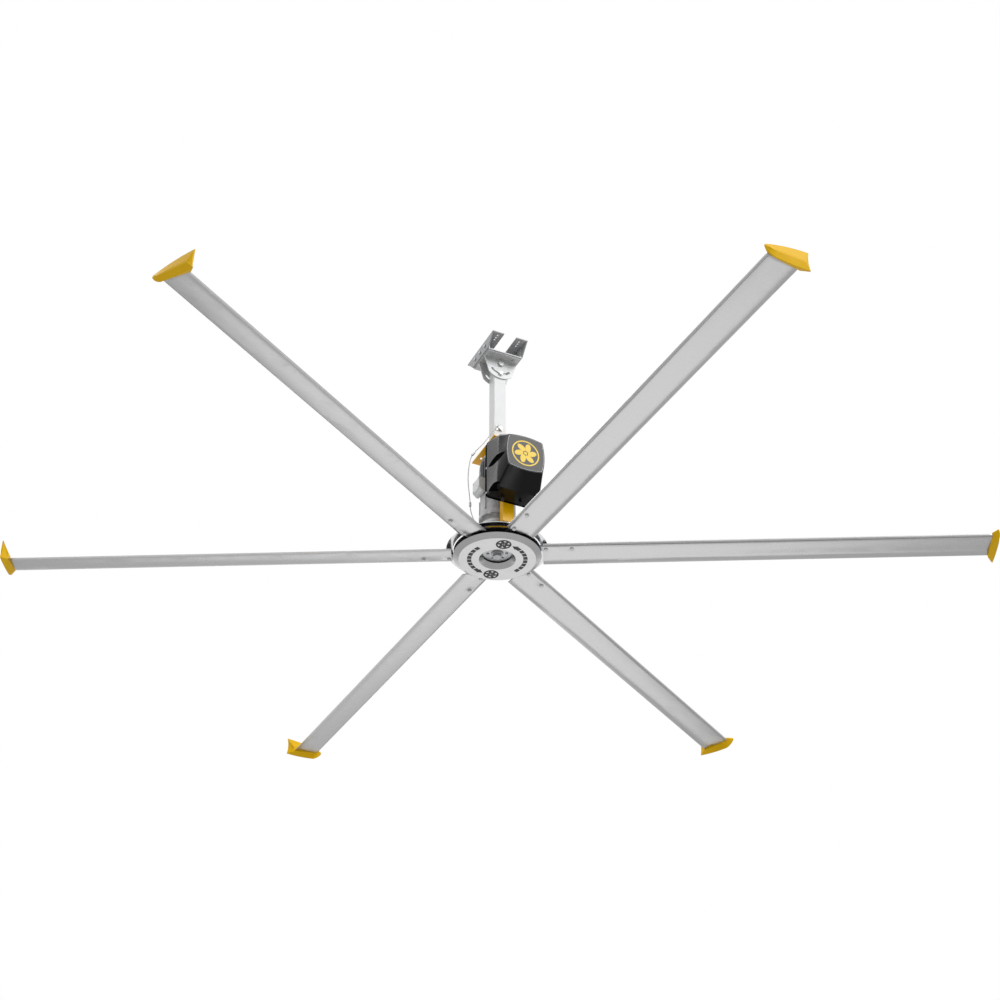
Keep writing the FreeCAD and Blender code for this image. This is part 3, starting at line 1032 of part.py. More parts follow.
# Hub cover: spun dish with a rolled lip round its centre hole, and posts up to the hub
DISH_TOP = "Dim.dish_level + Dim.dish_wall"
dish = turned("dish", [
    ("Dim.dish_lip_radius", level("Dim.dish_level + Dim.dish_lip")),
    ("Dim.dish_hole", level("Dim.dish_level")),
    ("Dim.dish_radius", level("Dim.dish_level")), ("Dim.dish_rim_radius", level("Dim.dish_rim_level")),
    ("Dim.dish_rim_radius - 2 * Dim.dish_wall", level("Dim.dish_rim_level")),
    ("Dim.dish_radius - Dim.dish_wall", level(DISH_TOP)),
    ("Dim.dish_hole + Dim.dish_wall", level(DISH_TOP)),
    ("Dim.dish_lip_radius + Dim.dish_wall", level("Dim.dish_level + Dim.dish_lip"))])
posts = [Part.makeCylinder(val("Dim.dish_post_radius"), hub_low - height(DISH_TOP) + 1,
                           place + Vector(0, 0, height(DISH_TOP) - 1)) for place in post_places]
node(cut("hub_cover", fuse("dish_and_posts", dish, feature("dish_posts", Part.makeCompound(posts))),
         holes("post_threads", val("Dim.dish_screw_radius"), post_places,
               hub_low - val("Dim.dish_screw_bite"), hub_low + 1)), "hub_cover")


# Airfoils: hollow extrusions on the struts, the leading edge on the -Y side of each blade
NOSE_BELLY = 0.96


def airfoil_face():
    """Section across a blade in the YZ plane, its underside hollow and its tail drooping."""
    lead, trail = val("Dim.blade_lead"), val("Dim.blade_trail")
    line, crown, belly = val("Dim.strut_line"), val("Dim.blade_crown"), val("Dim.blade_belly")
    edge, droop = val("Dim.blade_edge"), val("Dim.blade_droop")
    upper = [(-lead, 0), (-lead * 0.97, crown * 0.28), (-lead * 0.86, crown * 0.6), (-line, crown),
             (trail * 0.12, crown * 0.86), (trail * 0.62, crown * 0.4), (trail, edge - droop)]
    lower = [(trail, -edge - droop), (trail * 0.62, 0), (trail * 0.12, -belly * 0.6),
             (-line, -belly), (-lead * 0.86, -belly * NOSE_BELLY), (-lead * 0.97, -belly * 0.6),
             (-lead, 0)]
    curves = []
    for row in (upper, lower):
        curve = Part.BSplineCurve()
        curve.interpolate([Vector(0, along, across) for along, across in row])
        curves.append(curve.toShape())
    tail = Part.LineSegment(Vector(0, trail, edge - droop), Vector(0, trail, -edge - droop)).toShape()
    return Part.Face(Part.Wire([curves[0], tail, curves[1]]))


blade_length = val("Dim.blade_outer - Dim.blade_inner")
rear_wall = val("Dim.strut_width / 2 - Dim.strut_line") + 6
rear_station = val("Dim.blade_trail") * 0.12
rear_far = val("Dim.blade_trail") * 0.45
skin = val("Dim.blade_skin")
rear_high = val("Dim.blade_crown") * 0.86 - skin
rear_low = skin - val("Dim.blade_belly") * 0.6


def rear_pocket():
    """Hollow behind the strut's pocket, tapering with the section."""
    corners = [(rear_wall, rear_high), (rear_station, rear_high),
               (rear_far, val("Dim.blade_crown") * 0.56 - skin),
               (rear_far, skin - val("Dim.blade_belly") * 0.16),
               (rear_station, rear_low), (rear_wall, rear_low)]
    points = [Vector(0, along, across) for along, across in corners]
    return Part.Face(Part.makePolygon(points + points[:1]))


strut_pocket = strut_block(val("Dim.strut_play"))
pocket_section = Part.makeBox(blade_length, val("Dim.strut_width + 2 * Dim.strut_play"),
                              val("Dim.strut_wall + 2 * Dim.strut_play"),
                              Vector(val("Dim.blade_inner"), strut_pocket.BoundBox.YMin,
                                     strut_pocket.BoundBox.ZMin))
blade_root = Vector(val("Dim.blade_inner"), 0, 0)
blade_run = Vector(blade_length, 0, 0)
rear_hollow = rear_pocket().extrude(blade_run)
rear_hollow.translate(blade_root)
airfoil = airfoil_face().extrude(blade_run)
airfoil.translate(blade_root)
groove_place = Vector(0, val("Dim.lead_groove - Dim.blade_lead - Dim.groove_width / 2"),
                      val(f"Dim.groove_depth - {1 + NOSE_BELLY} * Dim.blade_belly"))
groove = Part.makeBox(blade_length, val("Dim.groove_width"), val("Dim.blade_belly"),
                      blade_root + groove_place)
airfoil = airfoil.cut([pocket_section, rear_hollow, groove] + blade_drills)


# Winglets: fins on the blade ends, each a foot that flares to a thin edge, and a tenon in the blade
def winglet_wire(out, along_scale, up_scale, turn=0.0):
    """Outline of the fin at a distance out, scaled along the chord and upwards, then turned."""
    nose, tail = val("Dim.winglet_nose"), val("Dim.winglet_tail")
    rise, fall = val("Dim.winglet_rise"), val("Dim.winglet_fall")
    pitch = Rotation(Vector(1, 0, 0), turn)

    def spot(along, up):
        return pitch.multVec(Vector(out, along * along_scale, up * up_scale))

    arcs = [((-nose * 0.94, rise * 0.36), (tail * 0.05, rise * 0.78), (tail, rise)),
            ((tail, rise), (tail * 0.95, rise * 0.15), (tail, -fall)),
            ((tail, -fall), (tail * 0.26, -fall * 1.06), (-nose * 0.52, -fall * 0.88)),
            ((-nose * 0.52, -fall * 0.88), (-nose * 0.82, -fall * 0.36), (-nose * 0.99, rise * 0.12)),
            ((-nose * 0.99, rise * 0.12), (-nose, rise * 0.26), (-nose * 0.94, rise * 0.36))]
    return Part.Wire([Part.Arc(spot(*start), spot(*middle), spot(*end)).toShape()
                      for start, middle, end in arcs])


def winglet():
    """Fin in the upright frame of a blade, with its foot and tenon in the blade's own pitch."""
    out = val("Dim.blade_outer")
    edge = out + val("Dim.winglet_stand")
    face = edge + val("Dim.winglet_edge")
    wires = [winglet_wire(out, 0.74, 0.3, -val("Dim.blade_pitch")), winglet_wire(edge, 1, 1),
             winglet_wire(face, 0.99, 0.98), winglet_wire(face + val("Dim.winglet_ridge"), 0.8, 0.1)]
    fin = Part.makeLoft(wires, True, True)
    play = val("Dim.tenon_play")
    tenon = Part.makeBox(val("Dim.tenon_length") + 1, rear_station - rear_wall - 2 * play,
                         rear_high - rear_low - 2 * play,
                         Vector(out - val("Dim.tenon_length"), rear_wall + play, rear_low + play))
    tenon.Placement = Placement(Vector(), pitch_turn).multiply(tenon.Placement)
    return fin.fuse(tenon)


winglet_shape = winglet()
blade_bolts = []
ring_low, ring_high = height("Dim.ring_level"), height("Dim.ring_level + Dim.ring_wall")
ring_reach = val("2 * Dim.ring_outer")
below_ring = Part.makeCylinder(ring_reach, ring_reach, Vector(0, 0, ring_high - ring_reach))
for number, angle in enumerate(blade_angles, start=1):
    node(feature(f"airfoil_{number}", on_blade(airfoil, angle)), f"airfoil_{number}")
    fin = winglet_shape.copy()
    fin.Placement = Placement(Vector(0, 0, -val("Dim.drop")), Rotation(UP, angle))
    node(feature(f"winglet_{number}", fin), f"winglet_{number}")
    for end, grip in (("inner", "Dim.blade_crown + Dim.ring_wall"), ("outer", "Dim.blade_crown - 1.5")):
        seat = Vector(val(f"Dim.blade_bolt_{end}"), -val("Dim.strut_line"), 0.5 - val("Dim.blade_belly"))
        stud, nut = bolt(val("Dim.blade_bolt_radius"), val(f"Dim.blade_belly - 0.5 + {grip}"))
        stud, nut = [on_blade(moved(part, seat).cut(airfoil), angle) for part in (stud, nut)]
        if end == "inner":
            nut = nut.cut(below_ring)
        blade_bolts += [stud, nut]
group("airfoil_bolts", blade_bolts)

ring_blank = Part.makeCylinder(val("Dim.ring_outer"), ring_high - ring_low, Vector(0, 0, ring_low))
ring_blank = ring_blank.cut(Part.makeCylinder(val("Dim.ring_inner"), ring_high - ring_low,
                                              Vector(0, 0, ring_low)))
ring_drill = Part.makeCylinder(val("Dim.ring_hole_radius"), 2 * drill_reach,
                               Vector(val("Dim.blade_bolt_inner"), -val("Dim.strut_line"), -drill_reach))
ring_tools = [on_blade(ring_drill, angle) for angle in blade_angles]
node(feature("airfoil_retainer_ring", ring_blank.cut(ring_tools)), "airfoil_retainer_ring")

# Every object is checked before the pieces are written
doc.recompute()
for item in doc.Objects:
    if "Invalid" in item.State or "Error" in item.State:
        raise RuntimeError(f"{item.Label} failed: {item.State}")
for item in nodes:
    if item.Shape.isNull() or not item.Shape.isValid() or item.Shape.Volume <= 0:
        raise RuntimeError(f"{item.Label} has no valid solid")
os.makedirs("parts", exist_ok=True)
for item in nodes:
    item.Shape.exportStep(f"parts/{item.Label}.step")
print(len(nodes), "nodes written")
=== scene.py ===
import json
import math

import bpy
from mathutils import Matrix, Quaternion, Vector

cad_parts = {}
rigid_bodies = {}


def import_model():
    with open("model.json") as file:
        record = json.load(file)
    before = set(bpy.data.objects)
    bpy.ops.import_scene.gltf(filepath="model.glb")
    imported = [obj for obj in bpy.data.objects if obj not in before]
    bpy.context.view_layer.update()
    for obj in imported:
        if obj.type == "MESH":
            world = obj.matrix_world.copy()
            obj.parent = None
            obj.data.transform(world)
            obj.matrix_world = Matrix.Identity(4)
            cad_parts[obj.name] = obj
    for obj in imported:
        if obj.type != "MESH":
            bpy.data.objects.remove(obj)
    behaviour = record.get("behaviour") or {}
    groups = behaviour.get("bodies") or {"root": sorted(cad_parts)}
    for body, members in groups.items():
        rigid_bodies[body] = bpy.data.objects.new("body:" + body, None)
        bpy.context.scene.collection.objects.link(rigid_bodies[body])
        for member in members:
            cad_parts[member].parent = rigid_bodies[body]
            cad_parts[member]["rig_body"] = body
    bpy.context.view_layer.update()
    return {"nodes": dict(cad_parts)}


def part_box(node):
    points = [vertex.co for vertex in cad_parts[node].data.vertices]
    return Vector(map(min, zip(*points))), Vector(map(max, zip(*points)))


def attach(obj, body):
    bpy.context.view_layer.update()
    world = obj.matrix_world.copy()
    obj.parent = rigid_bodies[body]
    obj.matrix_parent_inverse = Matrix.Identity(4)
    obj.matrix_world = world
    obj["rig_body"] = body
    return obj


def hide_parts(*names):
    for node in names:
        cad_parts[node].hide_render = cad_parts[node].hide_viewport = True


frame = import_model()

# Beam mount
# Two angles bolted to the roof beam, a saddle channel between them and two swivel plates, cut and
# folded from steel plate and hot dip galvanised, so zinc crystals show as a grey spangle.
MM = 0.001
WELD = 0.001 * MM
# In degrees: faces flatter than this are merged, edges sharper than this are rounded over, and edges
# blunter than this look smooth.
FLAT = 0.4
SHARP = 40
SMOOTH = 35
SPANGLE = 14 * MM
ZINC_CLOUD = 60 * MM
CRYSTAL_SHARE = 0.15


def linear(code):
    """Linear colour of an sRGB hex value."""
    parts = [int(code[k:k + 2], 16) / 255 for k in (1, 3, 5)]
    return [p / 12.92 if p <= 0.04045 else ((p + 0.055) / 1.055) ** 2.4 for p in parts] + [1]


def add_node(tree, kind, inputs, **settings):
    """Node of a kind with its settings, and with its inputs set or linked."""
    made = tree.nodes.new("ShaderNode" + kind)
    for name, value in settings.items():
        setattr(made, name, value)
    for name, value in inputs.items():
        if isinstance(value, bpy.types.NodeSocket):
            tree.links.new(value, made.inputs[name])
        else:
            made.inputs[name].default_value = value
    return made.outputs


def new_finish(name):
    """Empty material, its node tree and the place on the piece that its patterns read."""
    finish = bpy.data.materials.new(name)
    finish.use_nodes = True
    tree = finish.node_tree
    tree.nodes.clear()
    return finish, tree, add_node(tree, "TexCoord", {})["Object"]


def lay_finish(tree, inputs):
    """Shader of a material with its inputs, led to the material's surface."""
    shader = add_node(tree, "BsdfPrincipled", inputs)
    add_node(tree, "OutputMaterial", {"Surface": shader["BSDF"]})


def pick(*pieces):
    """Leave only these objects selected, the first of them active."""
    bpy.ops.object.select_all(action="DESELECT")
    for piece in pieces:
        piece.select_set(True)
    bpy.context.view_layer.objects.active = pieces[0]


def copy_of_node(name, copy_name):
    """Copy of a CAD node's mesh with its triangles joined at their corners, picked and in edit mode."""
    made = bpy.data.objects.new(copy_name, frame["nodes"][name].data.copy())
    bpy.context.collection.objects.link(made)
    pick(made)
    bpy.ops.mesh.customdata_custom_splitnormals_clear()
    bpy.ops.object.mode_set(mode="EDIT")
    bpy.ops.mesh.select_all(action="SELECT")
    bpy.ops.mesh.remove_doubles(threshold=WELD)
    return made


def broken_edges(name, finish, edge, smooth=SMOOTH, cuts=()):
    """Copy of a CAD node with its sharp edges rounded over, as deburred or moulded, in its finish.

    Cuts are planes, a point and a normal each, that part a long curved piece into short faces, so that
    the holes and edges at its ends don't slant the shading between them.
    """
    made = copy_of_node(name, name + "_finished")
    bpy.ops.mesh.dissolve_limited(angle_limit=math.radians(FLAT))
    for point, normal in cuts:
        bpy.ops.mesh.select_all(action="SELECT")
        bpy.ops.mesh.bisect(plane_co=point, plane_no=normal)
    bpy.ops.object.mode_set(mode="OBJECT")
    bevel = made.modifiers.new("edge", "BEVEL")
    bevel.width = edge
    bevel.segments = 2
    bevel.limit_method = "ANGLE"
    bevel.angle_limit = math.radians(SHARP)
    bpy.ops.object.modifier_apply(modifier="edge")
    bpy.ops.object.shade_smooth_by_angle(angle=math.radians(smooth))
    if not cuts:
        weights = made.modifiers.new("weights", "WEIGHTED_NORMAL")
        weights.keep_sharp = True
        bpy.ops.object.modifier_apply(modifier="weights")
    made.data.materials.clear()
    made.data.materials.append(finish)
    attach(made, frame["nodes"][name]["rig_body"])
    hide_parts(name)
    return made


def spangled(name, dark, light):
    """Galvanised finish between two greys: its material, node tree, crystal pattern and colour."""
    finish, tree, place = new_finish(name)
    crystal = add_node(tree, "TexVoronoi", {"Vector": place, "Scale": 1 / SPANGLE})
    cloud = add_node(tree, "TexNoise", {"Vector": place, "Scale": 1 / ZINC_CLOUD, "Detail": 4})
    blotch = add_node(tree, "Mix", {0: CRYSTAL_SHARE, 2: cloud["Fac"], 3: crystal["Color"]})
    grey = add_node(tree, "Mix", {0: blotch[0], 6: linear(dark), 7: linear(light)}, data_type="RGBA")
    return finish, tree, crystal["Color"], grey[2]


zinc, tree, crystal, grey = spangled("hot_dip_galvanised_steel", "#B8B9BA", "#C6C7C8")
gloss = add_node(tree, "MapRange", {"Value": crystal, "To Min": 0.42, "To Max": 0.48})
lay_finish(tree, {"Base Color": grey, "Metallic": 0.25, "Roughness": gloss["Result"]})
for name in ("swivel_plate_front", "swivel_plate_rear", "saddle_channel"):
    broken_edges(name, zinc, edge=0.6 * MM)

# The angles get a duller, darker copy of the zinc, a painted shade for the dark undersides of their flanges.
shaded_zinc, tree, crystal, grey = spangled("zinc_darkened_as_painted_shade", "#9EA0A2", "#ABADAF")
lay_finish(tree, {"Base Color": grey, "Metallic": 0.15, "Roughness": 0.6})
for name in ("beam_angle_left", "beam_angle_right"):
    broken_edges(name, shaded_zinc, edge=0.6 * MM)

# Fasteners
# Hexagon bolts, nuts, washers and screws, cold formed from steel and zinc plated, which leaves a
# bright grey skin with slight clouding.
PLATING_CLOUD = 8 * MM
plated, tree, place = new_finish("zinc_plated_steel")
cloud = add_node(tree, "TexNoise", {"Vector": place, "Scale": 1 / PLATING_CLOUD, "Detail": 3})
grey = add_node(tree, "Mix", {0: cloud["Fac"], 6: linear("#AEAFB0"), 7: linear("#C4C5C6")}, data_type="RGBA")
gloss = add_node(tree, "MapRange", {"Value": cloud["Fac"], "To Min": 0.4, "To Max": 0.5})
lay_finish(tree, {"Base Color": grey[2], "Metallic": 0.6, "Roughness": gloss["Result"]})
for name in ("mount_bolts", "pivot_bolt", "frame_bolts", "gearmotor_bolts", "hub_bolts", "centre_bolt"):
    broken_edges(name, plated, edge=0.5 * MM)

# Those of the blades, the cover and the rod's lock are stainless steel, paler and even.
stainless, tree, place = new_finish("bright_stainless_steel")
cloud = add_node(tree, "TexNoise", {"Vector": place, "Scale": 1 / PLATING_CLOUD, "Detail": 3})
grey = add_node(tree, "Mix", {0: cloud["Fac"], 6: linear("#D2D3D3"), 7: linear("#E0E1E1")}, data_type="RGBA")
lay_finish(tree, {"Base Color": grey[2], "Metallic": 0.3, "Roughness": 0.4})
for name in ("airfoil_bolts", "cover_screws", "lock_bolt"):
    broken_edges(name, stainless, edge=0.5 * MM)

# Downrod
# Square steel tube with the frame's post inside its foot, finished in light grey satin paint with the
# fine orange peel of a sprayed coat.
PEEL = 2.5 * MM
ROD_CLOUD = 90 * MM
rod_paint, tree, place = new_finish("light_grey_satin_paint")
peel = add_node(tree, "TexNoise", {"Vector": place, "Scale": 1 / PEEL, "Detail": 2})
cloud = add_node(tree, "TexNoise", {"Vector": place, "Scale": 1 / ROD_CLOUD, "Detail": 3})
grey = add_node(tree, "Mix", {0: cloud["Fac"], 6: linear("#D6D8D9"), 7: linear("#E2E3E4")}, data_type="RGBA")
wave = add_node(tree, "Bump", {"Height": peel["Fac"], "Strength": 0.12, "Distance": 0.1 * MM})
lay_finish(tree, {"Base Color": grey[2], "Roughness": 0.38, "Normal": wave["Normal"]})
for name in ("downrod", "frame_post"):
    broken_edges(name, rod_paint, edge=1.5 * MM)

# Frame
# Top plate, two folded legs and base plate of cut steel that carry the gearmotor and the drive, welded
# and powder coated golden yellow; the thick coat has a soft orange peel.
FRAME_CLOUD = 70 * MM
frame_paint, tree, place = new_finish("golden_yellow_powder_coat")
peel = add_node(tree, "TexNoise", {"Vector": place, "Scale": 1 / PEEL, "Detail": 2})
cloud = add_node(tree, "TexNoise", {"Vector": place, "Scale": 1 / FRAME_CLOUD, "Detail": 3})
gold = add_node(tree, "Mix", {0: cloud["Fac"], 6: linear("#F0B400"), 7: linear("#F8C000")}, data_type="RGBA")
wave = add_node(tree, "Bump", {"Height": peel["Fac"], "Strength": 0.2, "Distance": 0.15 * MM})
lay_finish(tree, {"Base Color": gold[2], "Roughness": 0.26, "Specular IOR Level": 0.35,
                  "Normal": wave["Normal"]})
for name in ("frame_top_plate", "frame_leg_front", "frame_leg_rear", "frame_base_plate"):
    broken_edges(name, frame_paint, edge=0.9 * MM)

# Gearcase
# Two aluminium castings bolted at a flange, sand cast and left with a grainy grey skin, with upright
# ribs round the upper one.
SAND_GRAIN = 3 * MM
CASTING_CLOUD = 24 * MM
RIB_COUNT = 8
RIB_START = 22.5
RIB_SIZE = (8 * MM, 6 * MM, 80 * MM)
RIB_ROUND = 2 * MM
RIB_LOW = -1046 * MM
RIB_REACH = 87 * MM
casting, tree, place = new_finish("sand_cast_aluminium")
grain = add_node(tree, "TexNoise", {"Vector": place, "Scale": 1 / SAND_GRAIN, "Detail": 5})
cloud = add_node(tree, "TexNoise", {"Vector": place, "Scale": 1 / CASTING_CLOUD, "Detail": 6})
grey = add_node(tree, "Mix", {0: cloud["Fac"], 6: linear("#868686"), 7: linear("#DCDCDC")}, data_type="RGBA")
pits = add_node(tree, "Bump", {"Height": grain["Fac"], "Strength": 0.5, "Distance": 0.4 * MM})
lay_finish(tree, {"Base Color": grey[2], "Metallic": 0.3, "Roughness": 0.55, "Normal": pits["Normal"]})
for name in ("gearcase_lower", "gearcase_upper"):
    broken_edges(name, casting, edge=1.2 * MM)


def settle(made, finish, body):
    """Give a new piece its finish and the body that carries it."""
    made.data.materials.clear()
    made.data.materials.append(finish)
    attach(made, body)


def joined(name, pieces):
    """One object of several, with its place in its mesh."""
    pick(*pieces)
    bpy.ops.object.transform_apply(location=True, rotation=True, scale=True)
    if len(pieces) > 1:
        bpy.ops.object.join()
    pieces[0].name = name
    return pieces[0]


def on_circle(model, count, start=0.0):
    """A model and its copies, each with its own mesh, spread evenly about the fan's axis."""
    pick(model)
    bpy.ops.object.transform_apply(location=True, rotation=True, scale=True)
    pieces = []
    for k in range(count):
        piece = model if k == count - 1 else model.copy()
        if piece is not model:
            piece.data = model.data.copy()
            bpy.context.collection.objects.link(piece)
        piece.rotation_euler = (0, 0, math.radians(start) + 2 * math.pi * k / count)
        pieces.append(piece)
    return pieces


def round_over(offset, segments):
    """Round every edge of the piece in hand."""
    bpy.ops.object.mode_set(mode="EDIT")
    bpy.ops.mesh.select_all(action="SELECT")
    bpy.ops.mesh.bevel(offset=offset, segments=segments, affect="EDGES")
    bpy.ops.object.mode_set(mode="OBJECT")


bpy.ops.mesh.primitive_cube_add(size=1, location=(RIB_REACH, 0, RIB_LOW + RIB_SIZE[2] / 2))
rib = bpy.context.object
rib.scale = RIB_SIZE
bpy.ops.object.transform_apply(location=True, rotation=True, scale=True)
round_over(RIB_ROUND, 3)
ribs = joined("gearcase_ribs", on_circle(rib, RIB_COUNT, RIB_START))
bpy.ops.object.shade_smooth_by_angle(angle=math.radians(SMOOTH))
settle(ribs, casting, "hanging")

# Gear train and bearings
# Shafts, gears and bearings turned and ground from steel, bright with slight clouding from the
# grinding.
GRINDING_CLOUD = 5 * MM
ground, tree, place = new_finish("ground_steel")
cloud = add_node(tree, "TexNoise", {"Vector": place, "Scale": 1 / GRINDING_CLOUD, "Detail": 3})
gloss = add_node(tree, "MapRange", {"Value": cloud["Fac"], "To Min": 0.2, "To Max": 0.36})
grey = add_node(tree, "Mix", {0: cloud["Fac"], 6: linear("#A3A4A6"), 7: linear("#BCBDBF")}, data_type="RGBA")
lay_finish(tree, {"Base Color": grey[2], "Metallic": 1.0, "Roughness": gloss["Result"]})
for name in ("motor_shaft", "layshaft", "output_gear", "output_shaft", "gearbox_bearings", "motor_bearings"):
    broken_edges(name, ground, edge=0.2 * MM)

# Shaft seal
# Moulded rubber lip seal pressed into the gearcase round the output shaft, matt black with a faint
# bloom.
BLOOM = 6 * MM
rubber, tree, place = new_finish("black_nitrile_rubber")
cloud = add_node(tree, "TexNoise", {"Vector": place, "Scale": 1 / BLOOM, "Detail": 3})
black = add_node(tree, "Mix", {0: cloud["Fac"], 6: linear("#1B1B1C"), 7: linear("#2C2C2D")}, data_type="RGBA")
lay_finish(tree, {"Base Color": black[2], "Roughness": 0.7})
broken_edges("shaft_seal", rubber, edge=0.3 * MM)

# Motor
# Finned housing and end cover, die cast and painted a satin grey, round a stator and rotor of varnished
# laminations.
MOTOR_CLOUD = 40 * MM
motor_paint, tree, place = new_finish("grey_enamel_on_die_casting")
peel = add_node(tree, "TexNoise", {"Vector": place, "Scale": 1 / PEEL, "Detail": 2})
cloud = add_node(tree, "TexNoise", {"Vector": place, "Scale": 1 / MOTOR_CLOUD, "Detail": 3})
grey = add_node(tree, "Mix", {0: cloud["Fac"], 6: linear("#6C6E70"), 7: linear("#7D7F81")}, data_type="RGBA")
wave = add_node(tree, "Bump", {"Height": peel["Fac"], "Strength": 0.2, "Distance": 0.15 * MM})
lay_finish(tree, {"Base Color": grey[2], "Roughness": 0.42, "Normal": wave["Normal"]})
for name in ("motor_housing", "motor_end_cover"):
    broken_edges(name, motor_paint, edge=0.6 * MM)

# The stack shows as fine brown stripes across the axis, drawn at four times a sheet's real 0.5 mm so
# that they show. A wave texture of scale 1 repeats every 0.314.
LAMINATION = 2 * MM
WAVE_LENGTH = 0.314
core, tree, place = new_finish("varnished_laminations")
stack = add_node(tree, "TexWave", {"Vector": place, "Scale": WAVE_LENGTH / LAMINATION}, bands_direction="Z")
brown = add_node(tree, "Mix", {0: stack["Fac"], 6: linear("#3E2E24"), 7: linear("#6E5544")}, data_type="RGBA")
edge = add_node(tree, "Bump", {"Height": stack["Fac"], "Strength": 0.4, "Distance": 0.2 * MM})
lay_finish(tree, {"Base Color": brown[2], "Metallic": 0.3, "Roughness": 0.5, "Normal": edge["Normal"]})
for name in ("stator", "rotor_core"):
    broken_edges(name, core, edge=0.3 * MM)

# Junction box
# Light grey moulded box with a screwed lid on the motor's side, and nylon cable glands. The mould's
# spark eroded grain is drawn coarser than it is, so that it shows.
BOX_GRAIN = 1.5 * MM
BOX_CLOUD = 45 * MM
LID_SCREW = 4 * MM
LID_SCREW_ROUND = 0.8 * MM
LID_SCREW_INSET = 8 * MM
box_plastic, tree, place = new_finish("light_grey_moulded_abs")
grain = add_node(tree, "TexNoise", {"Vector": place, "Scale": 1 / BOX_GRAIN, "Detail": 3})
cloud = add_node(tree, "TexNoise", {"Vector": place, "Scale": 1 / BOX_CLOUD, "Detail": 2})
grey = add_node(tree, "Mix", {0: cloud["Fac"], 6: linear("#E2E3E3"), 7: linear("#ECEDED")}, data_type="RGBA")
spark = add_node(tree, "Bump", {"Height": grain["Fac"], "Strength": 0.15, "Distance": 0.1 * MM})
lay_finish(tree, {"Base Color": grey[2], "Roughness": 0.45, "Normal": spark["Normal"]})
for name in ("junction_box", "junction_box_lid"):
    broken_edges(name, box_plastic, edge=0.9 * MM)

lid_low, lid_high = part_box("junction_box_lid")
screw_heads = []
for y in (lid_low[1] + LID_SCREW_INSET, lid_high[1] - LID_SCREW_INSET):
    for z in (lid_low[2] + LID_SCREW_INSET, lid_high[2] - LID_SCREW_INSET):
        bpy.ops.object.select_all(action="DESELECT")
        bpy.ops.mesh.primitive_cylinder_add(vertices=24, radius=LID_SCREW, depth=LID_SCREW,
                                            location=(lid_low[0], y, z), rotation=(0, math.pi / 2, 0))
        screw_heads.append(bpy.context.object)
        round_over(LID_SCREW_ROUND, 2)
lid_screws = joined("junction_box_lid_screws", screw_heads)
bpy.ops.object.shade_smooth_by_angle(angle=math.radians(SMOOTH))
settle(lid_screws, plated, "hanging")

# Nylon moulds with a dull, slightly mottled dark skin.
NYLON_GRAIN = 2 * MM
nylon, tree, place = new_finish("dark_moulded_nylon")
grain = add_node(tree, "TexNoise", {"Vector": place, "Scale": 1 / NYLON_GRAIN, "Detail": 3})
grey = add_node(tree, "Mix", {0: grain["Fac"], 6: linear("#303133"), 7: linear("#3C3D40")}, data_type="RGBA")
lay_finish(tree, {"Base Color": grey[2], "Roughness": 0.45})
broken_edges("cable_glands", nylon, edge=0.4 * MM)

# Motor lead
# Rubber jacketed lead from the junction box up, over and down into the drive's back plate; a short
# stiff loop with a matt extruded skin.
LEAD_RADIUS = 3.5 * MM
JACKET_GRAIN = 3 * MM
lead_route = [(-0.101, -0.010, -0.844), (-0.103, -0.012, -0.812), (-0.105, -0.030, -0.775),
              (-0.100, -0.058, -0.756), (-0.096, -0.084, -0.762), (-0.096, -0.108, -0.762)]


def cord_line(name, route):
    """Curve object of one smooth spline that a cord's route controls."""
    data = bpy.data.curves.new(name, "CURVE")
    data.dimensions = "3D"
    data.resolution_u = 12
    line = data.splines.new("NURBS")
    line.points.add(len(route) - 1)
    for point, spot in zip(line.points, route):
        point.co = (*spot, 1)
    line.order_u = 3
    line.use_endpoint_u = True
    made = bpy.data.objects.new(name, data)
    bpy.context.collection.objects.link(made)
    return made


jacket, tree, place = new_finish("grey_rubber_jacket")
grain = add_node(tree, "TexNoise", {"Vector": place, "Scale": 1 / JACKET_GRAIN, "Detail": 3})
grey = add_node(tree, "Mix", {0: grain["Fac"], 6: linear("#A2A4A6"), 7: linear("#B8BABB")}, data_type="RGBA")
lay_finish(tree, {"Base Color": grey[2], "Roughness": 0.55})
lead = cord_line("motor_lead_cord", lead_route)
lead.data.bevel_depth = LEAD_RADIUS
lead.data.bevel_resolution = 5
lead.data.materials.append(jacket)
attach(lead, "hanging")
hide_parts("motor_lead")

# Drive
# Frequency drive screwed to a folded back plate, which is powder coated matt black and has a soft
# orange peel. The drive's own case is grey moulded polycarbonate with a fine grain.
DRIVE_GRAIN = 2 * MM
plate_coat, tree, place = new_finish("black_powder_coat")
peel = add_node(tree, "TexNoise", {"Vector": place, "Scale": 1 / PEEL, "Detail": 2})
black = add_node(tree, "Mix", {0: peel["Fac"], 6: linear("#262628"), 7: linear("#303032")}, data_type="RGBA")
wave = add_node(tree, "Bump", {"Height": peel["Fac"], "Strength": 0.25, "Distance": 0.15 * MM})
lay_finish(tree, {"Base Color": black[2], "Roughness": 0.5, "Normal": wave["Normal"]})
broken_edges("drive_back_plate", plate_coat, edge=0.5 * MM)

drive_plastic, tree, place = new_finish("grey_moulded_polycarbonate")
grain = add_node(tree, "TexNoise", {"Vector": place, "Scale": 1 / DRIVE_GRAIN, "Detail": 3})
grey = add_node(tree, "Mix", {0: grain["Fac"], 6: linear("#3B3D40"), 7: linear("#46484B")}, data_type="RGBA")
lay_finish(tree, {"Base Color": grey[2], "Roughness": 0.5})
broken_edges("drive_unit", drive_plastic, edge=1.5 * MM)

# Drive cover
# Deep cover moulded in gloss black plastic and screwed to the back plate, with slight flow ripples. It is
# matt behind the line where the gasket lies, and over each side's two scoops it turns matt and loses its
# reflection, a painted shade for their dark insides.
FLOW_RIPPLE = 35 * MM
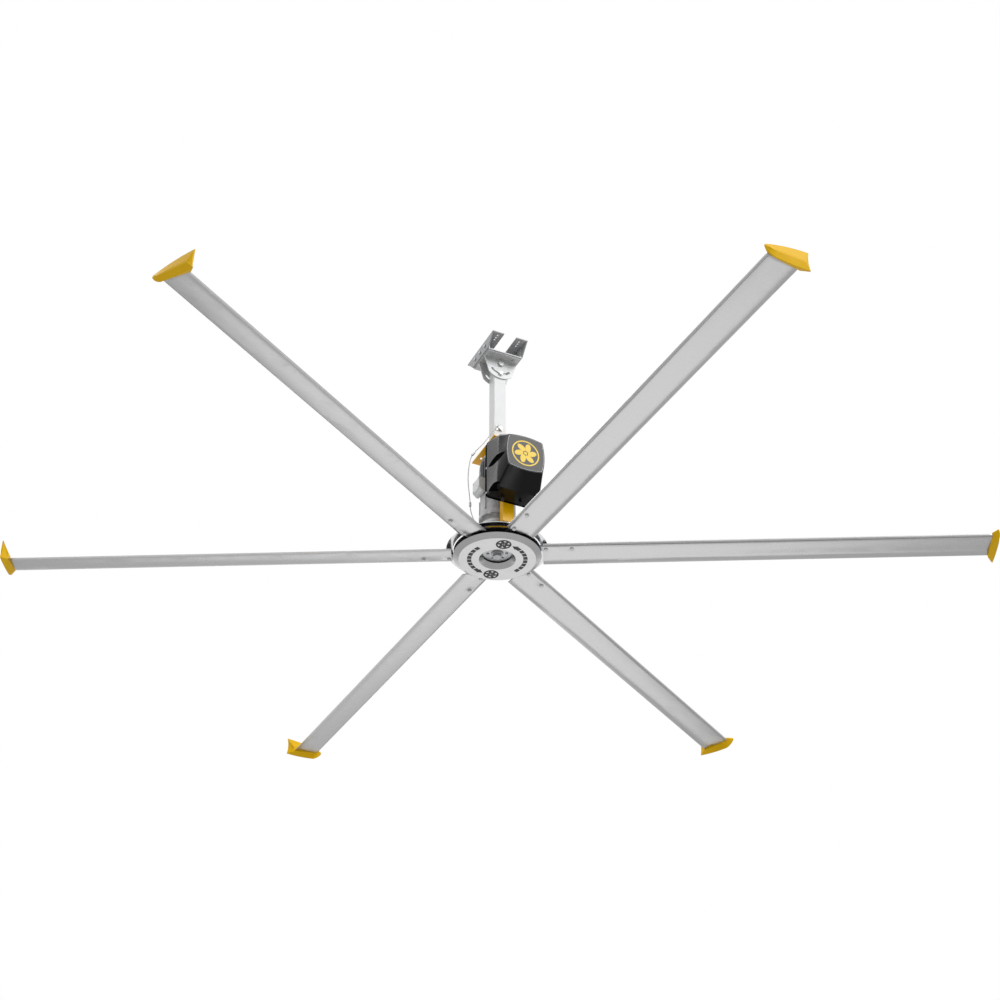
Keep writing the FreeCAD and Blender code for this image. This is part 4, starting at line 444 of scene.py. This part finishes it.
# Each scoop: the place of its middle along Y, half its length, its height in Z and half its depth there.
SCOOPS = ((-234 * MM, 78 * MM, -888 * MM, 21 * MM), (-206 * MM, 48 * MM, -1032 * MM, 17 * MM))
SCOOP_SIDE = 92 * MM
GASKET_FRONT = -143 * MM
cover_plastic, tree, place = new_finish("gloss_black_moulded_abs")
ripple = add_node(tree, "TexNoise", {"Vector": place, "Scale": 1 / FLOW_RIPPLE, "Detail": 2})
black = add_node(tree, "Mix", {0: ripple["Fac"], 6: linear("#0A0A0B"), 7: linear("#101011")},
                 data_type="RGBA")
flow = add_node(tree, "Bump", {"Height": ripple["Fac"], "Strength": 0.1, "Distance": 1 * MM})
spot = add_node(tree, "SeparateXYZ", {"Vector": place})
side = add_node(tree, "Math", {0: spot["X"]}, operation="ABSOLUTE")
side = add_node(tree, "Math", {0: side[0], 1: SCOOP_SIDE}, operation="GREATER_THAN")
matt_and_scoop_shade = add_node(tree, "Math", {0: spot["Y"], 1: GASKET_FRONT}, operation="GREATER_THAN")
# Painted shade: over each scoop's leaf the black turns matt and loses its reflection, for the dark inside of
# the hollow.
for middle, reach, height, half in SCOOPS:
    radius = (reach ** 2 + half ** 2) / (2 * half)
    run = add_node(tree, "Math", {0: spot["Y"], 1: middle}, operation="SUBTRACT")
    run = add_node(tree, "Math", {0: run[0], 1: 2}, operation="POWER")
    rise = add_node(tree, "Math", {0: spot["Z"], 1: height}, operation="SUBTRACT")
    rise = add_node(tree, "Math", {0: rise[0]}, operation="ABSOLUTE")
    rise = add_node(tree, "Math", {0: rise[0], 1: radius - half}, operation="ADD")
    square = add_node(tree, "Math", {0: rise[0], 1: rise[0], 2: run[0]}, operation="MULTIPLY_ADD")
    scoop_shade = add_node(tree, "Math", {0: square[0], 1: radius ** 2}, operation="LESS_THAN")
    scoop_shade = add_node(tree, "Math", {0: scoop_shade[0], 1: side[0]}, operation="MULTIPLY")
    matt_and_scoop_shade = add_node(tree, "Math", {0: matt_and_scoop_shade[0], 1: scoop_shade[0]}, operation="MAXIMUM")
gloss = add_node(tree, "MapRange", {"Value": matt_and_scoop_shade[0], "To Min": 0.22, "To Max": 0.8})
shine = add_node(tree, "MapRange", {"Value": matt_and_scoop_shade[0], "To Min": 0.2, "To Max": 0.0})
lay_finish(tree, {"Base Color": black[2], "Roughness": gloss["Result"], "Specular IOR Level": shine["Result"],
                  "Normal": flow["Normal"]})
broken_edges("drive_cover", cover_plastic, edge=1.2 * MM)

# Cover panel
# Flush front panel of charcoal plastic let into the cover, with a sandy moulded texture, and round its edge a
# bright tube as a painted highlight along the cover's lip.
PANEL_GRAIN = 1.2 * MM
HIGHLIGHT_TUBE_RADIUS = 1.3 * MM
HIGHLIGHT_TUBE_CLOUD = 6 * MM
TUBE_SMOOTH = 50
FACING_FRONT = -0.9
panel_plastic, tree, place = new_finish("charcoal_textured_polycarbonate")
grain = add_node(tree, "TexNoise", {"Vector": place, "Scale": 1 / PANEL_GRAIN, "Detail": 3})
grey = add_node(tree, "Mix", {0: grain["Fac"], 6: linear("#403F3D"), 7: linear("#4C4B49")}, data_type="RGBA")
spark = add_node(tree, "Bump", {"Height": grain["Fac"], "Strength": 0.3, "Distance": 0.1 * MM})
lay_finish(tree, {"Base Color": grey[2], "Roughness": 0.5, "Normal": spark["Normal"]})
broken_edges("cover_front_panel", panel_plastic, edge=0.5 * MM)

# Painted highlight: a bright metal tube along the outline of the panel's front face stands in for the
# highlight on the cover's lip.
highlight_tube_finish, tree, place = new_finish("bright_metal_painted_highlight")
grain = add_node(tree, "TexNoise", {"Vector": place, "Scale": 1 / HIGHLIGHT_TUBE_CLOUD, "Detail": 2})
gloss = add_node(tree, "MapRange", {"Value": grain["Fac"], "To Min": 0.2, "To Max": 0.34})
grey = add_node(tree, "Mix", {0: grain["Fac"], 6: linear("#8E9092"), 7: linear("#A4A6A8")}, data_type="RGBA")
lay_finish(tree, {"Base Color": grey[2], "Metallic": 0.8, "Roughness": gloss["Result"]})
highlight_tube = copy_of_node("cover_front_panel", "panel_lip_painted_highlight")
bpy.ops.mesh.select_mode(type="FACE")
bpy.ops.mesh.select_all(action="DESELECT")
bpy.ops.object.mode_set(mode="OBJECT")
for face in highlight_tube.data.polygons:
    face.select = face.normal.y > FACING_FRONT
bpy.ops.object.mode_set(mode="EDIT")
bpy.ops.mesh.delete(type="FACE")
bpy.ops.mesh.select_all(action="SELECT")
bpy.ops.mesh.dissolve_limited(angle_limit=math.radians(FLAT), use_dissolve_boundaries=False)
bpy.ops.mesh.select_all(action="SELECT")
bpy.ops.mesh.delete(type="ONLY_FACE")
bpy.ops.object.mode_set(mode="OBJECT")
bpy.ops.object.convert(target="CURVE")
highlight_tube.data.bevel_depth = HIGHLIGHT_TUBE_RADIUS
highlight_tube.data.bevel_resolution = 2
bpy.ops.object.convert(target="MESH")
bpy.ops.object.shade_smooth_by_angle(angle=math.radians(TUBE_SMOOTH))
settle(highlight_tube, highlight_tube_finish, "hanging")

# Panel badge
# Plain badge of thin yellow vinyl stuck on the panel, a ring round a six-blade rotor, with the even
# satin of cut film.
BADGE_RADIUS = 74 * MM
BADGE_RIM = 7 * MM
VINYL = 0.5 * MM
VINYL_GRAIN = 2 * MM
# Shares of a badge's radius: where its first blade stands, that blade's half length and half width, and
# its hub. The blades' turn is in degrees.
BADGE_BLADES = 6
BADGE_BLADE_SPOT = (0.48, 0.06)
BADGE_BLADE_SIZE = (0.34, 0.2)
BADGE_BLADE_TURN = 24
BADGE_HUB = 0.12


def flat_ring(steps, radius, width):
    """Flat ring about the origin, of an outer radius and a width, with none of it selected."""
    bpy.ops.object.select_all(action="DESELECT")
    bpy.ops.mesh.primitive_circle_add(vertices=steps, radius=radius, fill_type="NGON")
    bpy.ops.object.mode_set(mode="EDIT")
    bpy.ops.mesh.select_all(action="SELECT")
    bpy.ops.mesh.inset(thickness=width)
    bpy.ops.mesh.delete(type="FACE")
    bpy.ops.mesh.select_all(action="DESELECT")
    bpy.ops.object.mode_set(mode="OBJECT")
    return bpy.context.object


def lay_vinyl(flat, offset, place, turn):
    """Give a flat cut the film's thickness on one side, and set it at a place with its face turned."""
    layer = flat.modifiers.new("layer", "SOLIDIFY")
    layer.thickness = VINYL
    layer.offset = offset
    bpy.ops.object.modifier_apply(modifier="layer")
    flat.location = place
    flat.rotation_euler = turn
    joined(flat.name, [flat])


def rotor_badge(name, radius, rim, finish, body, place, turn):
    """Flat badge, a ring of a width round a rotor of six blades, set at a place with its face turned."""
    ring = flat_ring(72, radius, rim)
    bpy.ops.object.select_all(action="DESELECT")
    bpy.ops.mesh.primitive_circle_add(vertices=28, radius=1, fill_type="NGON",
                                      location=(*(share * radius for share in BADGE_BLADE_SPOT), 0))
    blade = bpy.context.object
    blade.scale = (*(share * radius for share in BADGE_BLADE_SIZE), 1)
    blade.rotation_euler = (0, 0, math.radians(BADGE_BLADE_TURN))
    blades = on_circle(blade, BADGE_BLADES)
    bpy.ops.mesh.primitive_circle_add(vertices=36, radius=BADGE_HUB * radius, fill_type="NGON")
    badge = joined(name, [ring, bpy.context.object] + blades)
    lay_vinyl(badge, 1, place, turn)
    settle(badge, finish, body)


yellow_vinyl, tree, place = new_finish("yellow_cut_vinyl")
grain = add_node(tree, "TexNoise", {"Vector": place, "Scale": 1 / VINYL_GRAIN, "Detail": 2})
gold = add_node(tree, "Mix", {0: grain["Fac"], 6: linear("#EAC21C"), 7: linear("#F0CC22")}, data_type="RGBA")
lay_finish(tree, {"Base Color": gold[2], "Roughness": 0.4})
panel_low, panel_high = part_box("cover_front_panel")
panel_middle = (0, panel_low[1], (panel_low[2] + panel_high[2]) / 2)
rotor_badge("panel_badge", BADGE_RADIUS, BADGE_RIM, yellow_vinyl, "hanging", panel_middle,
            (math.pi / 2, 0, 0))

# Safety cable
# Galvanised wire rope of six strands laid round a core, from an eye on the downrod's bolt, out past the
# junction box and down to an eye on the gearcase; bright wire with dull patches.
ROPE_RADIUS = 2.4 * MM
ROPE_CLOUD = 6 * MM
ROPE_STEPS = 20
STRANDS = 6
STRAND_RADIUS = 0.78 * MM
STRAND_REACH = ROPE_RADIUS - STRAND_RADIUS
ROPE_LAY = 30 * MM
rope_route = [(-0.020, -0.04025, -0.524), (-0.040, -0.036, -0.554), (-0.062, -0.022, -0.595),
              (-0.088, -0.010, -0.640), (-0.121, 0.000, -0.682), (-0.146, 0.005, -0.725),
              (-0.155, 0.008, -0.793), (-0.159, 0.008, -0.860), (-0.154, 0.008, -0.923),
              (-0.147, 0.006, -0.988), (-0.146, 0.004, -1.043), (-0.137, 0.002, -1.084),
              (-0.122, 0.000, -1.118)]
rope_wire, tree, place = new_finish("galvanised_wire_rope")
cloud = add_node(tree, "TexNoise", {"Vector": place, "Scale": 1 / ROPE_CLOUD, "Detail": 3})
grey = add_node(tree, "Mix", {0: cloud["Fac"], 6: linear("#A9AAA8"), 7: linear("#C9CAC8")}, data_type="RGBA")
lay_finish(tree, {"Base Color": grey[2], "Metallic": 0.8, "Roughness": 0.42})

line = cord_line("rope_line", rope_route)
line.data.resolution_u = ROPE_STEPS
track = bpy.data.meshes.new_from_object(line)
spine = [vertex.co.copy() for vertex in track.vertices]
bpy.data.objects.remove(line)
side = (spine[1] - spine[0]).cross(Vector((0, 1, 0))).normalized()
gone = 0.0
stations = []
for k, spot in enumerate(spine):
    ahead = (spine[min(k + 1, len(spine) - 1)] - spine[max(k - 1, 0)]).normalized()
    side = (side - ahead * side.dot(ahead)).normalized()
    gone += (spot - spine[k - 1]).length if k else 0.0
    stations.append((spot, side, ahead.cross(side), 2 * math.pi * gone / ROPE_LAY))


def add_strand(curve, spots):
    """One more line of a curve, through spots that follow the rope's spline."""
    strand = curve.splines.new("POLY")
    strand.points.add(len(spots) - 1)
    for point, spot in zip(strand.points, spots):
        point.co = (*spot, 1)


strand_lines = bpy.data.curves.new("safety_cable_rope", "CURVE")
strand_lines.dimensions = "3D"
strand_lines.bevel_depth = STRAND_RADIUS
strand_lines.bevel_resolution = 2
strand_lines.use_fill_caps = True
for k in range(STRANDS):
    start = 2 * math.pi * k / STRANDS
    add_strand(strand_lines, [
        spot + (across * math.cos(twist + start) + up * math.sin(twist + start)) * STRAND_REACH
        for spot, across, up, twist in stations])
add_strand(strand_lines, spine)
rope = bpy.data.objects.new("safety_cable_rope", strand_lines)
bpy.context.collection.objects.link(rope)
pick(rope)
bpy.ops.object.convert(target="MESH")
bpy.ops.object.shade_smooth_by_angle(angle=math.radians(TUBE_SMOOTH))
settle(rope, rope_wire, "hanging")
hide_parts("safety_cable")
broken_edges("cable_fittings", rope_wire, edge=0.4 * MM)

# Hub
# Aluminium hub with six machined struts let into it, which carry the airfoils. Outside its bare machined face
# the hub is painted black, a painted shade for its shadowed underside, and a polished steel ring ties the
# airfoils' roots together.
HUB_CLOUD = 12 * MM
RING_CLOUD = 20 * MM
BARE_RADIUS = 83 * MM

# Machined faces are bright and satin, with slight clouding.
machined, tree, place = new_finish("machined_aluminium")
cloud = add_node(tree, "TexNoise", {"Vector": place, "Scale": 1 / HUB_CLOUD, "Detail": 3})
grey = add_node(tree, "Mix", {0: cloud["Fac"], 6: linear("#B4B6B8"), 7: linear("#C8CACC")}, data_type="RGBA")
gloss = add_node(tree, "MapRange", {"Value": cloud["Fac"], "To Min": 0.28, "To Max": 0.4})
lay_finish(tree, {"Base Color": grey[2], "Metallic": 1.0, "Roughness": gloss["Result"]})
broken_edges("hub_struts", machined, edge=0.8 * MM)

# Painted shade: black with a dull sheen outside the machined radius, for the hub's shadowed underside, and
# bare bright metal within it.
hub_painted_shade, tree, place = new_finish("hub_casting_black_painted_shade")
flat = add_node(tree, "VectorMath", {0: place, 1: (1, 1, 0)}, operation="MULTIPLY")
radius = add_node(tree, "VectorMath", {0: flat["Vector"]}, operation="LENGTH")
shaded_outside = add_node(tree, "Math", {0: radius["Value"], 1: BARE_RADIUS}, operation="GREATER_THAN")
cloud = add_node(tree, "TexNoise", {"Vector": place, "Scale": 1 / HUB_CLOUD, "Detail": 3})
grey = add_node(tree, "Mix", {0: cloud["Fac"], 6: linear("#B4B6B8"), 7: linear("#C8CACC")}, data_type="RGBA")
black = add_node(tree, "Mix", {0: cloud["Fac"], 6: linear("#161617"), 7: linear("#222223")}, data_type="RGBA")
tone = add_node(tree, "Mix", {0: shaded_outside[0], 6: grey[2], 7: black[2]}, data_type="RGBA")
metal = add_node(tree, "MapRange", {"Value": shaded_outside[0], "To Min": 1.0, "To Max": 0.0})
gloss = add_node(tree, "MapRange", {"Value": cloud["Fac"], "To Min": 0.3, "To Max": 0.5})
lay_finish(tree, {"Base Color": tone[2], "Metallic": metal["Result"], "Roughness": gloss["Result"]})
broken_edges("hub", hub_painted_shade, edge=0.8 * MM)

# Polished steel mirrors its surroundings, a little clouded.
polished, tree, place = new_finish("polished_steel")
cloud = add_node(tree, "TexNoise", {"Vector": place, "Scale": 1 / RING_CLOUD, "Detail": 3})
gloss = add_node(tree, "MapRange", {"Value": cloud["Fac"], "To Min": 0.12, "To Max": 0.24})
grey = add_node(tree, "Mix", {0: cloud["Fac"], 6: linear("#C9CBCD"), 7: linear("#D9DBDC")}, data_type="RGBA")
lay_finish(tree, {"Base Color": grey[2], "Metallic": 1.0, "Roughness": gloss["Result"]})
broken_edges("airfoil_retainer_ring", polished, edge=0.4 * MM)

# Hub cover
# Shallow dish spun from aluminium sheet, its round hole turned in, with the fine rings that spinning
# leaves, drawn coarser than they are so that they show.
RING_STEP = 6 * MM
DISH_CLOUD = 30 * MM
DISH_SMOOTH = 20
spun, tree, place = new_finish("spun_aluminium")
rings = add_node(tree, "TexWave", {"Vector": place, "Scale": WAVE_LENGTH / RING_STEP, "Distortion": 0.6,
                                   "Detail": 2}, wave_type="RINGS", rings_direction="Z")
cloud = add_node(tree, "TexNoise", {"Vector": place, "Scale": 1 / DISH_CLOUD, "Detail": 3})
grey = add_node(tree, "Mix", {0: cloud["Fac"], 6: linear("#C2C2C2"), 7: linear("#CDCDCD")}, data_type="RGBA")
gloss = add_node(tree, "MapRange", {"Value": rings["Fac"], "To Min": 0.2, "To Max": 0.26})
groove = add_node(tree, "Bump", {"Height": rings["Fac"], "Strength": 0.04, "Distance": 0.1 * MM})
lay_finish(tree, {"Base Color": grey[2], "Metallic": 0.95, "Roughness": gloss["Result"],
                  "Normal": groove["Normal"]})
broken_edges("hub_cover", spun, edge=0.9 * MM, smooth=DISH_SMOOTH)

# Hub cover marks
# Plain marks of dull black vinyl stuck under the dish: two dashed bands that follow the turn, each with an
# arrow head, and two small rotor badges between them. Their angles are in degrees.
BAND_RADIUS = 148 * MM
BAND_WIDTH = 21 * MM
BAND_MIDDLE = BAND_RADIUS - BAND_WIDTH / 2
BAND_STEPS = 144
BAND_STARTS = (287, 107)
BAND_SWEEP = 97.5
DASH_STEPS = 4
HEAD_LEAD = 3
HEAD_RADIUS = 0.9 * BAND_WIDTH
DISH_BADGE_RADIUS = 38 * MM
DISH_BADGE_RIM = 9 * MM
DISH_BADGE_ANGLES = (257.5, 77.5)
dish_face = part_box("hub_cover")[0][2]
black_vinyl, tree, place = new_finish("black_cut_vinyl")
grain = add_node(tree, "TexNoise", {"Vector": place, "Scale": 1 / VINYL_GRAIN, "Detail": 2})
black = add_node(tree, "Mix", {0: grain["Fac"], 6: linear("#1A1A1B"), 7: linear("#262627")}, data_type="RGBA")
lay_finish(tree, {"Base Color": black[2], "Roughness": 0.45})
bands = flat_ring(BAND_STEPS, BAND_RADIUS, BAND_WIDTH)
for face in bands.data.polygons:
    angle = math.degrees(math.atan2(face.center.y, face.center.x))
    gone = min((angle - start) % 360 for start in BAND_STARTS)
    step = int(gone * BAND_STEPS / 360)
    face.select = gone > BAND_SWEEP or step % (DASH_STEPS + 1) == DASH_STEPS
bpy.ops.object.mode_set(mode="EDIT")
bpy.ops.mesh.delete(type="FACE")
bpy.ops.object.mode_set(mode="OBJECT")
heads = []
for start in BAND_STARTS:
    angle = math.radians(start - HEAD_LEAD)
    spot = (BAND_MIDDLE * math.cos(angle), BAND_MIDDLE * math.sin(angle), 0)
    bpy.ops.object.select_all(action="DESELECT")
    bpy.ops.mesh.primitive_circle_add(vertices=3, radius=HEAD_RADIUS, fill_type="NGON", location=spot,
                                      rotation=(0, 0, angle + math.pi))
    heads.append(bpy.context.object)
bands = joined("hub_cover_bands", [bands] + heads)
lay_vinyl(bands, -1, (0, 0, dish_face), (0, 0, 0))
settle(bands, black_vinyl, "rotor")
for k, degrees in enumerate(DISH_BADGE_ANGLES):
    angle = math.radians(degrees)
    spot = (BAND_MIDDLE * math.cos(angle), BAND_MIDDLE * math.sin(angle), dish_face)
    rotor_badge(f"hub_cover_badge_{k + 1}", DISH_BADGE_RADIUS, DISH_BADGE_RIM, black_vinyl,
                "rotor", spot, (math.pi, 0, 0))

# Airfoils
# Six hollow aluminium extrusions, silver anodised to a soft sheen and bolted to the struts; the die leaves
# faint lines along each blade, drawn coarser than they are so that they show.
BLADE_COUNT = 6
BLADE_REST_ANGLE = 32.3
DIE_LINE = 5 * MM
DIE_RUN = 900 * MM
# Radii in millimetres at which each blade is parted into short faces: the last, and every step from the
# first up to it.
CUT_FIRST = 440
CUT_LAST = 2375
CUT_STEP = 150
CUT_RADII = [radius * MM for radius in (CUT_LAST, *range(CUT_FIRST, CUT_LAST, CUT_STEP))]
for k in range(BLADE_COUNT):
    angle = math.radians(BLADE_REST_ANGLE + 360 / BLADE_COUNT * k)
    along_blade = Vector((math.cos(angle), math.sin(angle), 0))
    anodised, tree, place = new_finish(f"anodised_aluminium_extrusion_{k + 1}")
    along = add_node(tree, "Mapping", {"Vector": place, "Rotation": (0, 0, -angle),
                                       "Scale": (1 / DIE_RUN, 1 / DIE_LINE, 1 / (4 * DIE_LINE))})
    lines = add_node(tree, "TexNoise", {"Vector": along["Vector"], "Scale": 1, "Detail": 3})
    grey = add_node(tree, "Mix", {0: lines["Fac"], 6: linear("#C8C8C8"), 7: linear("#CECECE")},
                    data_type="RGBA")
    gloss = add_node(tree, "MapRange", {"Value": lines["Fac"], "To Min": 0.26, "To Max": 0.3})
    lay_finish(tree, {"Base Color": grey[2], "Metallic": 0.9, "Roughness": gloss["Result"]})
    broken_edges(f"airfoil_{k + 1}", anodised, edge=0.3 * MM,
                 cuts=[(radius * along_blade, along_blade) for radius in CUT_RADII])

# Winglets
# Moulded yellow plastic fins plugged into the blades' ends, satin with a fine spark eroded grain, which
# is drawn coarser than it is so that it shows.
FIN_GRAIN = 4 * MM
FIN_CLOUD = 80 * MM
fin_plastic, tree, place = new_finish("golden_yellow_moulded_abs")
grain = add_node(tree, "TexNoise", {"Vector": place, "Scale": 1 / FIN_GRAIN, "Detail": 3})
cloud = add_node(tree, "TexNoise", {"Vector": place, "Scale": 1 / FIN_CLOUD, "Detail": 2})
gold = add_node(tree, "Mix", {0: cloud["Fac"], 6: linear("#E2B000"), 7: linear("#EABA00")}, data_type="RGBA")
spark = add_node(tree, "Bump", {"Height": grain["Fac"], "Strength": 0.1, "Distance": 0.2 * MM})
lay_finish(tree, {"Base Color": gold[2], "Roughness": 0.5, "Specular IOR Level": 0.15,
                  "Normal": spark["Normal"]})
for k in range(BLADE_COUNT):
    broken_edges(f"winglet_{k + 1}", fin_plastic, edge=1.2 * MM)

# Studio
# Plain floor far below the fan, pale grey and white farther out, in white surroundings. An overhead sun,
# two large soft boxes, one of them low on the far side, which the undersides mirror, and a strip box
# whose reflection runs down the cover's side.
FLOOR_LEVEL = -15
FLOOR_WIDTH = 500
FLOOR_DUST = 2.5
FADE_START = 35
FADE_END = 130
FAN_MIDDLE = (0, 0, -1)
bpy.ops.object.select_all(action="DESELECT")
bpy.ops.mesh.primitive_plane_add(size=FLOOR_WIDTH, location=(0, 0, FLOOR_LEVEL))
floor = bpy.context.object
floor.name = "studio_floor"
pale, tree, place = new_finish("pale_matt_floor")
dust = add_node(tree, "TexNoise", {"Vector": place, "Scale": 1 / FLOOR_DUST, "Detail": 2})
shade = add_node(tree, "Mix", {0: dust["Fac"], 6: linear("#C2C2C2"), 7: linear("#C8C8C8")}, data_type="RGBA")
reach = add_node(tree, "VectorMath", {0: place}, operation="LENGTH")
fade = add_node(tree, "MapRange", {"Value": reach["Value"], "From Min": FADE_START, "From Max": FADE_END})
sweep = add_node(tree, "Mix", {0: fade["Result"], 6: shade[2], 7: linear("#FFFFFF")}, data_type="RGBA")
lay_finish(tree, {"Base Color": sweep[2], "Roughness": 0.9})
floor.data.materials.append(pale)

# The surroundings light the fan at a dimmer level, and are white where they are seen or mirrored.
DIM = 0.55
world = bpy.data.worlds.new("studio_white")
bpy.context.scene.world = world
world.use_nodes = True
tree = world.node_tree
tree.nodes.clear()
rays = add_node(tree, "LightPath", {})
seen = add_node(tree, "Math", {0: rays["Is Camera Ray"], 1: rays["Is Glossy Ray"]}, operation="MAXIMUM")
seen = add_node(tree, "Math", {0: seen[0], 1: rays["Is Transmission Ray"]}, operation="MAXIMUM")
level = add_node(tree, "Mix", {0: seen[0], 6: (DIM, DIM, DIM, 1), 7: (1, 1, 1, 1)}, data_type="RGBA")
glow = add_node(tree, "Background", {"Color": level[2], "Strength": 1.0})
add_node(tree, "OutputWorld", {"Surface": glow["Background"]})


def lamp(name, kind, power, place, aim, roll=0, **settings):
    """Studio lamp of a kind and power, set at a place, turned to what it lights and rolled about its aim."""
    data = bpy.data.lights.new(name, kind)
    data.energy = power
    for setting, value in settings.items():
        setattr(data, setting, value)
    made = bpy.data.objects.new(name, data)
    made.location = place
    made.rotation_mode = "QUATERNION"
    turned = (Vector(aim) - Vector(place)).to_track_quat("-Z", "Y")
    made.rotation_quaternion = turned @ Quaternion((0, 0, 1), math.radians(roll))
    made.visible_camera = False
    bpy.context.collection.objects.link(made)


lamp("overhead_sun", "SUN", 1.0, (-3, 4, 12), FAN_MIDDLE, angle=math.radians(40))
lamp("front_soft_box", "AREA", 1080, (4.6, -9.5, 7), FAN_MIDDLE, shape="SQUARE", size=9)
lamp("rear_strip_box", "AREA", 30, (-3.8, 4.1, 3.3), FAN_MIDDLE, shape="RECTANGLE", size=0.6, size_y=4)
lamp("far_low_soft_box", "AREA", 110, (3.9, 8.0, -9.2), FAN_MIDDLE, roll=-25, shape="SQUARE", size=7.5)

# Camera
# Stands below the fan, to the left of its front, and looks up at it from as far as the fan's blades
# show their perspective.
CAMERA_PLACE = Vector((-3.1450, -6.6232, -6.0342))
CAMERA_AIM = Vector((0.35379, 0.74160, 0.56998))
CAMERA_REACH = 200
LENS_MM = 64.39
eye = bpy.data.objects.new("camera", bpy.data.cameras.new("camera"))
eye.data.lens = LENS_MM
eye.data.clip_end = CAMERA_REACH
eye.location = CAMERA_PLACE
eye.rotation_mode = "QUATERNION"
eye.rotation_quaternion = CAMERA_AIM.to_track_quat("-Z", "Y")
bpy.context.collection.objects.link(eye)
bpy.context.scene.camera = eye
bpy.context.scene.view_settings.view_transform = "Standard"
